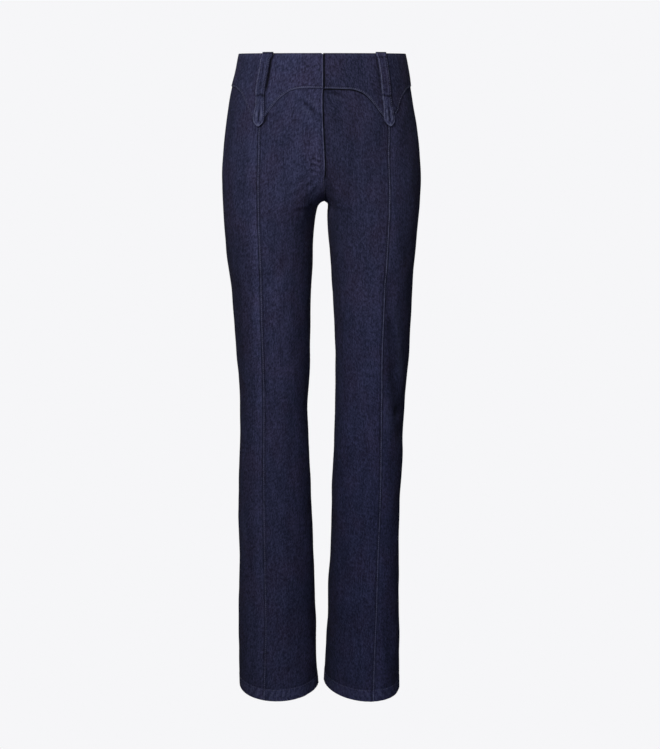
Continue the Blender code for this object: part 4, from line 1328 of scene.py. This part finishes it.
def tab_groove(chart):
    """1 along the part of the tab that a line of stitches pulls in."""
    return within(-chart.z, 0.0870, 0.0910, 0.1050, 0.1075)


def loop_wear_and_shade(chart, tabbed):
    """Rubbed light on a loop's edges, tab and point, with a painted highlight along one edge;
    painted shade in its grooves and folds, and painted shadow to one side.
    """
    z, across, side = chart.z, chart.across, chart.leg.side
    edge = np.minimum(chart.first_gap, chart.last_gap)
    half = (chart.first_gap + chart.last_gap) / 2
    to_right = across * side
    uneven = 1 + 0.4 * np.sin(z * 420 + across * 160)
    # rubbed edges, and painted shade in the stitched channels
    wear_and_shade = bells(edge, (uneven * 0.20, .0008, .0010), (-0.50, .0026, .0010))
    # painted highlight along one edge
    wear_and_shade += uneven * 0.46 * bell(to_right + half, .0012, .0013)
    # painted shade in the fold at the top
    wear_and_shade += bells(chart.top_gap, (0.26, .0034, .0020), (-0.8, 0, .0012))
    if tabbed:
        groove, low = tab_groove(chart), ease(-z, .1040, .1080)
        # painted shade in the tab's fold
        wear_and_shade += bells(tab_fold(chart), (-0.9, 0, .0013), (0.26, .0033, .0016))
        blotch = np.sin(z * 520 + 1.3) * np.sin(across * 640 + side)
        rubbed = (0.56 + 0.44 * blotch) * bell(np.abs(across), .0042, .0022)
        # rubbed tab, with painted shade in its groove
        wear_and_shade += groove * (rubbed - bell(across, 0, .0013))
        dashes = 0.6 + 0.4 * np.sin(z * 1300)
        # painted shadow to one side above the tab
        wear_and_shade += fade(-z, 0.058, 0.066) * bells(
            to_right, (-0.80 * dashes, -.0008, .0012), (0.24, .0030, .0018))
        # painted shade in a fold near the top
        wear_and_shade -= 0.90 * bell(z, -.0070 if side > 0 else -.0012, .0011)
        # rubbed lower edges of the tab, painted shade at their very edge
        wear_and_shade += low * bells(edge, (1.00, .0018, .0012), (-0.6, 0, .0007))
        wear_and_shade += 1.6 * bell(np.hypot(z + .1120, across), 0, .0018)
        grain = 0.72 + 0.28 * np.sin(z * 1900 + 4 * np.sin(across * 900))
        tab = 0.46 * ease(-z, .0680, .0720) * grain * bell(np.abs(across), .0038, .0015)
        line = 0.60 * ease(-z, .0775, .0830) * (1 - groove) * bell(across, 0, .0010)
        # painted shade along the tab's middle and a painted shadow on one edge
        wear_and_shade += (1 - low) * (tab - line - 0.80 * bell(half - to_right, .0002, .0008))
    return wear_and_shade


def loop_grid(rows, step):
    """Heights, distances across, half widths and slack on a grid, from a loop's table."""
    z = rows[0, 0] - spaced(rows[0, 0] - rows[-1, 0], step)
    lanes = spaced(2.0 * LOOP_HALF, 0.0013) / LOOP_HALF - 1.0
    z, half, slack = (np.repeat(values[:, None], len(lanes), 1)
                      for values in (z, loop_half(z, rows), loop_slack(z, rows)))
    return z, half * lanes, half, slack


def belt_loop(context, side):
    """One loop: its rows go down from the top, and its columns across."""
    name, rows, step = LOOPS[side][:3]
    tabbed = side != MIDDLE
    chart = loop_chart(side, *loop_grid(rows, step))
    thickness = context.scene.jeans_cloth.loop_thickness
    outer = chart.raised(chart.under + thickness + loop_relief(chart, tabbed))
    inner = chart.raised(chart.under)
    inner[0, :, 2] = outer[0, :, 2]
    uv = np.stack([chart.across + chart.leg.side * 0.9 + 8.0, chart.z], axis=-1)
    # a lighter copy of the denim: painted light
    cloth_piece("belt_loop_" + name, [wall(outer, inner, uv, loop_wear_and_shade(chart, tabbed))],
                kept("indigo denim trim", denim, context, 1.16), [outer])


# ---------- zip, hook and bar ----------

def pegs(profile, levels, origin, axes):
    """Like solids side by side: a closed outline in the first two axes, drawn along the
    third one, at each level shrunk to a scale, with flat ends.  Levels are pairs of
    height and scale; origins and axes are arrays with a row for each solid."""
    profile, levels = np.asarray(profile, float), np.asarray(levels, float)
    sides, rings, count = len(profile), len(levels), len(origin)
    u, v, w = (np.asarray(axis, float)[:, None, None] for axis in axes)
    flat = profile[None, None] * levels[None, :, 1:, None]
    points = (np.asarray(origin, float)[:, None, None] + flat[..., :1] * u
              + flat[..., 1:] * v + levels[None, :, :1, None] * w)
    index = np.arange(sides)
    ahead = (index + 1) % sides
    faces = [np.stack([k * sides + index, k * sides + ahead, (k + 1) * sides + ahead,
                       (k + 1) * sides + index], -1) for k in range(rings - 1)]
    fan = np.arange(1, sides - 1)
    faces.append(np.stack([0 * fan, fan + 1, fan, fan], -1))
    top = (rings - 1) * sides
    faces.append(np.stack([top + 0 * fan, top + fan, top + fan + 1, top + fan + 1], -1))
    faces = np.concatenate(faces)
    if np.linalg.det(np.stack([axis[0] for axis in axes])) < 0:
        corner = faces[:, 2] == faces[:, 3]
        faces = np.where(corner[:, None], faces[:, [0, 2, 1, 1]], faces[:, [0, 3, 2, 1]])
    faces = faces[None] + (np.arange(count) * sides * rings)[:, None, None]
    return points.reshape(-1, 3), faces.reshape(-1, 4)


def zip_chart(side, z, distance):
    """Chart of spots beside the centre front."""
    leg = LEGS[side]
    return Chart(leg, z, leg.seam("centre_front", z) + distance)


def rounded(width, height, power, count):
    """Outline of a superellipse, anticlockwise."""
    turn = np.arange(count) / count * 2 * math.pi
    c, s = np.cos(turn), np.sin(turn)
    return np.stack([width / 2 * np.sign(c) * np.abs(c) ** (2 / power),
                     height / 2 * np.sign(s) * np.abs(s) ** (2 / power)], -1)


def zip_tape(context):
    """Two woven tapes with a cord along each inner edge, behind the lap."""
    parts, z = [], np.linspace(ZIP_END_Z, ZIP_TOP_Z, 60)
    lanes = np.concatenate([np.linspace(.0006, .0030, 9), np.linspace(.0038, .0130, 12)])
    for side in LEGS:
        z_grid, x_grid = np.meshgrid(z, lanes, indexing="ij")
        chart = zip_chart(side, z_grid, x_grid)
        cord = 0.0005 * bell(x_grid, .0016, .0007)
        outer, inner = chart.raised(TAPE_OUT + cord), chart.raised(TAPE_IN - cord)
        uv = np.stack([x_grid * side + 9.0, z_grid], axis=-1)
        parts.append(wall(outer, inner, uv, 0.0))
    made = mesh_piece("cloth_zip_tape", parts, tape_finish())
    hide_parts("fly_zip")


def zip_metal(context):
    """Teeth in two rows that mesh, the stop below them, the slider and its pull tab."""
    finish, parts = metal("dark plated zip", (.30, .29, .28), 0.34), []
    tooth = [(-.0010, -.0004), (-.0003, -.0008), (.0026, -.0008), (.0026, .0008),
             (-.0003, .0008), (-.0010, .0004)]
    for side in LEGS:
        z = np.linspace(ZIP_END_Z + .0040, ZIP_TOP_Z - .0100, ZIP_TEETH)
        z = z + side * (z[1] - z[0]) / 4
        chart = zip_chart(side, z, 0 * z)
        away = np.broadcast_to([side, 0.0, 0.0], chart.point.shape)
        up = np.broadcast_to([0.0, 0.0, 1.0], chart.point.shape)
        parts.append(pegs(tooth, [(-.00040, .8), (-.00026, 1), (.00026, 1), (.00040, .8)],
                          chart.raised(TEETH_AT), (away, chart.out, up)))
    up, across = np.array([[0, 0, 1.0]]), np.array([[1.0, 0, 0]])
    for z, offset, width, height, depth, power in (
            (ZIP_END_Z + .0020, TEETH_AT, .0056, .0030, .0014, 5.0),
            (ZIP_TOP_Z - .0060, TEETH_AT, .0082, .0098, .0026, 3.0),
            (ZIP_TOP_Z - .0030, PULL_AT, .0042, .0034, .0008, 3.0),
            (ZIP_TOP_Z - .0130, PULL_AT, .0050, .0185, .0006, 3.4)):
        chart = zip_chart(RIGHT, np.array([z]), np.array([0.0]))
        levels = [(-depth / 2, .86), (-depth * .34, 1), (depth * .34, 1), (depth / 2, .86)]
        parts.append(pegs(rounded(width, height, power, 20), levels,
                          chart.raised(offset), (across, up, chart.out)))
    made = mesh_piece("zip_teeth", parts, finish, 40)
    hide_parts("fly_zip")


# ---------- stitching ----------

def beads(paths, pitch, length, width):
    """Stitches along paths: each is a slender bead with pointed ends, five sides round,
    which rises out of the cloth and dives back in.  A path is its points and outward
    directions; positions along it are even steps of the pitch."""
    sides, rings = 5, np.array([-0.62, 0.0, 0.62])
    spread = np.concatenate([[-1], rings, [1]])
    turn = np.arange(sides) / sides * 2 * math.pi
    radius = width / 2 * np.sqrt(1 - rings**2)
    here, ahead = np.arange(sides), (np.arange(sides) + 1) % sides
    last = 1 + len(rings) * sides
    start, end = 0 * here, last + 0 * here
    cell = [(start, 1 + here, 1 + ahead, 1 + ahead),
            (end, end - sides + ahead, end - sides + here, end - sides + here)]
    cell += [(low + here, low + sides + here, low + sides + ahead, low + ahead)
             for low in (1, 1 + sides)]
    cell = np.concatenate([np.stack(corners, -1) for corners in cell])
    points, faces, shift = [], [], 0
    for path, out in paths:
        arc = np.concatenate([[0], np.cumsum(np.linalg.norm(np.diff(path, axis=0), axis=1))])
        count = int((arc[-1] - pitch) / pitch)
        if count < 1:
            continue
        at = pitch * (np.arange(count) + 0.75)[:, None] + spread * length / 2
        centre, up = (np.stack([np.interp(at, arc, values[:, k]) for k in range(3)], axis=-1)
                      for values in (path, out))
        up /= np.linalg.norm(up, axis=-1, keepdims=True)
        way = centre[:, -1] - centre[:, 0]
        way /= np.linalg.norm(way, axis=-1, keepdims=True)
        aside = np.cross(way[:, None], up)
        centre = centre + up * (width * (0.28 - 0.55 * spread**4))[None, :, None]
        ring = (centre[:, 1:4, None]
                + aside[:, 1:4, None] * (radius[:, None] * np.cos(turn))[None, ..., None]
                + up[:, 1:4, None] * (radius[:, None] * np.sin(turn))[None, ..., None] * 0.8)
        group = np.concatenate([centre[:, :1], ring.reshape(count, -1, 3), centre[:, 4:]], 1)
        first = (last + 1) * np.arange(count)[:, None, None] + shift
        faces.append((cell[None] + first).reshape(-1, 4))
        points.append(group.reshape(-1, 3))
        shift += count * (last + 1)
    return np.concatenate(points), np.concatenate(faces)


def seam_line(leg, kind, low, high, from_first):
    """A line down a panel between two heights, beside its first or its last seam."""
    z = np.linspace(low, high, int((high - low) / 0.0015) + 2)
    first, last = PANELS[kind][:2]
    shares = SEAM_STITCH / (leg.seam(last, z) - leg.seam(first, z))
    if not from_first:
        shares = 1 - shares
    chart = panel_chart(leg, kind, z, shares, np.full(z.shape, z.max() + 0.004))
    return chart.raised(fly_lift(chart, kind) + panel_relief(chart, kind)), chart.out


def hem_line(leg, kind):
    """The line of stitches round one panel's hem."""
    z = np.full(180, HEM_Z[leg.side] + HEM_STITCH)
    chart = panel_chart(leg, kind, z, np.linspace(0.004, 0.996, 180), z + 0.5)
    return chart.raised(panel_relief(chart, kind)), chart.out


def band_line(leg, start, end):
    """A line along a waistband at a set distance from its lower edge, square to it."""
    angle = np.linspace(start, end, 400)
    low, arc = leg.band_edge(angle), leg.band_arc(angle)
    along, up = np.gradient(arc), np.gradient(low)
    size = np.hypot(along, up)
    arc = arc - up / size * BAND_STITCH * np.sign(along)
    z = low + along / size * BAND_STITCH
    chart = Chart(leg, z, arc, leg.band_angle(arc))
    lift = 0 * z if start < 0 else band_lift(leg, arc - arc[0])
    return chart.raised(BAND_PROUD + lift - STITCH_SINK), chart.out


def loop_lines(context, side):
    """The lines down both edges of a loop, which close to a V on a pointed tab."""
    lines, (rows, _, end, count) = [], LOOPS[side][1:]
    z = np.linspace(-0.001, end, count)
    half = loop_half(z, rows)
    for where in (-1, 1):
        across = where * np.maximum(half - SEAM_STITCH, 0.0002)
        grid = [part[:, None] for part in (z, across, half, loop_slack(z, rows))]
        chart = loop_chart(side, *grid)
        thickness = context.scene.jeans_cloth.loop_thickness
        top = chart.under + thickness + loop_relief(chart, side != MIDDLE)
        lines.append((chart.raised(top)[:, 0], chart.out[:, 0]))
    return lines


def bar_tack(leg, x, z, width, height, rows, lift):
    """A dense bar of stitches side by side across a line down the front."""
    lines = []
    for level in np.linspace(z - height / 2, z + height / 2, rows):
        reach = np.linspace(x - width / 2, x + width / 2, 12)
        heights = np.full(reach.shape, level)
        chart = Chart(leg, heights, leg.seam("centre_front", heights) + reach)
        lines.append((chart.raised(lift), chart.out))
    return lines


# ---------- property groups ----------

class JeansDenim(PropertyGroup):
    """Colours of the denim and its thread."""

    indigo: FloatVectorProperty(
        name="Indigo", description="Mean colour of the outer face", subtype="COLOR",
        size=3, default=(0.0295, 0.0302, 0.0674), min=0.0, max=1.0)
    # this colour also serves the painted highlights on the waistband's lower edge and the
    # loops' edges
    rubbed: FloatVectorProperty(
        name="Rubbed", description="Colour of worn ridges", subtype="COLOR",
        size=3, default=(0.1034, 0.1111, 0.1980), min=0.0, max=1.0)
    reverse: FloatVectorProperty(
        name="Reverse", description="Colour of the inside", subtype="COLOR",
        size=3, default=(0.090, 0.098, 0.140), min=0.0, max=1.0)
    thread: FloatVectorProperty(
        name="Thread", description="Colour of the sewing thread", subtype="COLOR",
        size=3, default=(0.088, 0.094, 0.160), min=0.0, max=1.0)
    contrast: FloatProperty(
        name="Contrast", description="Strength of the slubs and specks", subtype="FACTOR",
        default=0.73, min=0.0, max=2.0)
    twill_pitch: FloatProperty(
        name="Twill pitch", description="Spacing of the diagonal ridges", unit="LENGTH",
        default=0.0011, min=0.0004, max=0.005)


class JeansCloth(PropertyGroup):
    """Sizes of the cloth and the sewing."""

    thickness: FloatProperty(
        name="Cloth thickness", description="Wall of the leg panels", unit="LENGTH",
        default=0.0014, min=0.0008, max=0.003)
    hem_thickness: FloatProperty(
        name="Hem thickness", description="Wall of the turned hem", unit="LENGTH",
        default=0.0028, min=0.001, max=0.005)
    band_thickness: FloatProperty(
        name="Waistband thickness", description="Wall of the waistband", unit="LENGTH",
        default=0.0030, min=0.001, max=0.005)
    loop_thickness: FloatProperty(
        name="Loop thickness", description="Wall of the belt loops", unit="LENGTH",
        default=0.0018, min=0.001, max=0.004)
    stitch_pitch: FloatProperty(
        name="Stitch pitch", description="From one stitch to the next", unit="LENGTH",
        default=0.0034, min=0.0015, max=0.008)
    stitch_length: FloatProperty(
        name="Stitch length", description="Length of one stitch", unit="LENGTH",
        default=0.0028, min=0.001, max=0.007)
    thread_width: FloatProperty(
        name="Thread width", description="Thickness of the thread", unit="LENGTH",
        default=0.00062, min=0.0002, max=0.0015)


class JeansStudio(PropertyGroup):
    """The camera, floor and lights."""

    camera_distance: FloatProperty(
        name="Camera distance", description="In front of the origin", unit="LENGTH",
        subtype="DISTANCE", default=2.6, min=0.5, max=10.0)
    camera_tilt: FloatProperty(
        name="Camera tilt", description="Down from level", unit="ROTATION",
        subtype="ANGLE", default=math.radians(10.978))
    lens: FloatProperty(
        name="Lens", description="Focal length in mm", default=74.85, min=10.0, max=300.0)
    floor_depth: FloatProperty(
        name="Floor depth", description="Below the waist", unit="LENGTH", default=1.6,
        min=1.1, max=5.0)
    key_power: FloatProperty(
        name="Key light", description="Power of the large soft light", unit="POWER",
        default=40.0, min=0.0, max=2000.0)
    fill_power: FloatProperty(
        name="Fill light", description="Power of the weaker light", unit="POWER",
        default=8.0, min=0.0, max=2000.0)
    back_power: FloatProperty(
        name="Back light", description="Power of the light behind", unit="POWER",
        default=70.0, min=0.0, max=2000.0)
    top_power: FloatProperty(
        name="Top light", description="Power of the light above the waist", unit="POWER",
        default=14.0, min=0.0, max=2000.0)


# ---------- operators ----------

class JEANS_OT_leg_panels(Operator):
    """Builds the six leg panels"""

    bl_idname = "jeans.leg_panels"
    bl_label = "Leg panels"

    def execute(self, context):
        for leg in LEGS.values():
            for kind in PANELS:
                leg_panel(context, leg, kind)
        return {"FINISHED"}


class JEANS_OT_waistband(Operator):
    """Builds the waistband in three lengths, with the underlap"""

    bl_idname = "jeans.waistband"
    bl_label = "Waistband"

    def execute(self, context):
        for leg in LEGS.values():
            waistband_front(context, leg)
        waistband_back(context)
        return {"FINISHED"}


class JEANS_OT_belt_loops(Operator):
    """Builds the two pointed front loops and the plain back loop"""

    bl_idname = "jeans.belt_loops"
    bl_label = "Belt loops"

    def execute(self, context):
        for side in LOOPS:
            belt_loop(context, side)
        return {"FINISHED"}


class JEANS_OT_closures(Operator):
    """Builds the zip and finishes the hook and bar"""

    bl_idname = "jeans.closures"
    bl_label = "Zip, hook and bar"

    def execute(self, context):
        zip_tape(context)
        zip_metal(context)
        steel = metal("brushed hook steel", (.56, .56, .58), 0.30)
        for name in ("waist_hook", "waist_bar"):
            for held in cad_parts[name].material_slots:
                held.link = "OBJECT"
                held.material = steel
        return {"FINISHED"}


class JEANS_OT_stitching(Operator):
    """Sews the seams, hems, waistband, loops and bar tack"""

    bl_idname = "jeans.stitching"
    bl_label = "Stitching"

    def execute(self, context):
        sizes = context.scene.jeans_cloth
        stitch = sizes.stitch_pitch, sizes.stitch_length, sizes.thread_width
        seams, hems, band = [], [], []
        for leg in LEGS.values():
            seams.append(seam_line(leg, "front_centre", HEM_Z[leg.side] + 0.001,
                                   leg.tip_z - 0.001, False))
            hems += [hem_line(leg, kind) for kind in PANELS]
            band.append(band_line(leg, math.pi / 2 - 0.006, -SIDE_SEAM_ANGLE + 0.006))
            band.append(band_line(leg, -SIDE_SEAM_ANGLE - 0.006, -math.pi / 2))
        rise = [seam_line(LEGS[LEFT], "back", CROTCH_Z + 0.012, BAND_BACK_Z - 0.001, False),
                seam_line(LEGS[RIGHT], "front_centre", CROTCH_Z + 0.006, FLY_END_Z + 0.004,
                          True)]
        loops = [line for side in LOOPS for line in loop_lines(context, side)]
        tack = bar_tack(LEGS[RIGHT], x=0.0016, z=-0.1745, width=0.0062, height=0.0032,
                        rows=7, lift=0.0012)
        for name, lines, size in (
                ("front_seams", seams, stitch), ("rise", rise, stitch),
                ("hems", hems, stitch), ("waistband", band, stitch),
                ("belt_loops", loops, stitch), ("bar_tack", tack, TACK_STITCH)):
            mesh_piece("stitches_" + name, [beads(lines, *size)],
                       kept("stitching thread", thread, context))
        return {"FINISHED"}


class JEANS_OT_stage(Operator):
    """Sets up the pale studio, its lights and the camera"""

    bl_idname = "jeans.stage"
    bl_label = "Studio"

    def execute(self, context):
        studio_shell(context)
        studio_lights(context)
        studio_camera(context)
        return {"FINISHED"}


STUDIO_COLOUR = (0.9216, 0.9216, 0.9387)
STUDIO_RADIUS = 14.0
CAMERA_SIDE, CAMERA_Z = 0.0136, -0.03


def studio_shell(context):
    """A round floor and a dome: rings of points on a circle and on half a sphere."""
    depth = -context.scene.jeans_studio.floor_depth
    turn = np.linspace(0, 2 * math.pi, 65)[:-1]
    for name, rings in (("studio_floor", ((0.02, 0), (1, 0))),
                        ("studio_dome", [(math.cos(a), math.sin(a))
                                         for a in np.linspace(0, math.pi / 2 - .01, 13)])):
        rings = np.array(rings) * STUDIO_RADIUS
        points = np.stack([rings[:, :1] * np.cos(turn), rings[:, :1] * np.sin(turn),
                           np.repeat(rings[:, 1:], len(turn), 1) + depth], axis=-1)
        index = np.arange(points[..., 0].size).reshape(points.shape[:2])
        index = np.concatenate([index, index[:, :1]], axis=1)
        flat = grid_faces(index, name == "studio_dome")
        cap = index[0 if name == "studio_floor" else -1, :-1]
        mesh = bpy.data.meshes.new(name)
        mesh.from_pydata(points.reshape(-1, 3).tolist(), [],
                         flat.tolist() + [cap.tolist()])
        finish = Recipe(name + " paper", Roughness=1.0, Specular_IOR_Level=0.0)
        finish.shader.inputs["Base Color"].default_value = (0, 0, 0, 1)
        finish.shader.inputs["Emission Color"].default_value = (*STUDIO_COLOUR, 1)
        finish.shader.inputs["Emission Strength"].default_value = 1.0
        mesh.materials.append(finish.material)
        made = bpy.data.objects.new(name, mesh)
        context.scene.collection.objects.link(made)
        made.visible_diffuse = made.visible_glossy = made.visible_shadow = False


def studio_lights(context):
    """Large soft lights: position, aim, size across and up, and power."""
    sizes = context.scene.jeans_studio
    rows = (
        ("key_light", (-0.52, -2.0, 1.0), (0.0, 0.0, -0.30), 0.5, 0.5, sizes.key_power),
        ("fill_light", (0.9, -2.6, 0.5), (0.0, 0.0, -0.50), 1.0, 1.0, sizes.fill_power),
        ("back_light", (0.1, 3.4, 0.9), (0.0, 0.0, -0.50), 1.6, 2.2, sizes.back_power),
        ("top_light", (0.0, 0.1, 2.3), (0.0, 0.0, 0.0), 0.8, 0.8, sizes.top_power),
    )
    for name, place, aim, across, up, power in rows:
        light = bpy.data.lights.new(name, "AREA")
        light.shape = "RECTANGLE"
        light.size, light.size_y, light.energy = across, up, power
        made = bpy.data.objects.new(name, light)
        made.location = place
        away = Vector(aim) - Vector(place)
        made.rotation_euler = away.to_track_quat("-Z", "Y").to_euler()
        made.visible_camera = False
        context.scene.collection.objects.link(made)
    world = bpy.data.worlds.new("studio air")
    world.use_nodes = True
    sky = world.node_tree.nodes["Background"]
    sky.inputs["Color"].default_value = (0.84, 0.88, 1.0, 1.0)
    sky.inputs["Strength"].default_value = 0.075
    context.scene.world = world


def studio_camera(context):
    """The camera that took the photo, a little above the jeans' middle and tilted down."""
    sizes = context.scene.jeans_studio
    camera = bpy.data.cameras.new("photo_camera")
    camera.lens, camera.sensor_width = sizes.lens, 36.0
    camera.clip_end = 60.0
    made = bpy.data.objects.new("photo_camera", camera)
    made.location = (CAMERA_SIDE, -sizes.camera_distance, CAMERA_Z)
    made.rotation_euler = (math.pi / 2 - sizes.camera_tilt, 0.0, 0.0)
    context.scene.collection.objects.link(made)
    context.scene.camera = made
    context.scene.view_settings.view_transform = "Standard"
    context.scene.view_settings.look = "None"


class JEANS_PT_build(Panel):
    """Lists the build steps and their settings"""

    bl_label = "Jeans"
    bl_space_type = "VIEW_3D"
    bl_region_type = "UI"
    bl_category = "Jeans"

    def draw(self, context):
        for step in STEPS:
            self.layout.operator(step.bl_idname)
        for group in (context.scene.jeans_denim, context.scene.jeans_cloth,
                      context.scene.jeans_studio):
            box = self.layout.box()
            for name in group.__annotations__:
                box.prop(group, name)


STEPS = (JEANS_OT_leg_panels, JEANS_OT_waistband, JEANS_OT_belt_loops,
         JEANS_OT_closures, JEANS_OT_stitching, JEANS_OT_stage)
GROUPS = {"jeans_denim": JeansDenim, "jeans_cloth": JeansCloth, "jeans_studio": JeansStudio}


def register():
    """Adds the classes, and a settings group of each kind to every scene."""
    for made in (*GROUPS.values(), *STEPS, JEANS_PT_build):
        bpy.utils.register_class(made)
    for name, group in GROUPS.items():
        setattr(bpy.types.Scene, name, PointerProperty(type=group))


def unregister():
    """Takes them away again."""
    for name in GROUPS:
        delattr(bpy.types.Scene, name)
    for made in (JEANS_PT_build, *STEPS, *GROUPS.values()):
        bpy.utils.unregister_class(made)


def main():
    """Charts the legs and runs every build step."""
    register()
    for side in (RIGHT, LEFT):
        LEGS[side] = Leg(side)
    for step in STEPS:
        group, name = step.bl_idname.split(".")
        getattr(getattr(bpy.ops, group), name)()


if __name__ == "__main__":
    main()
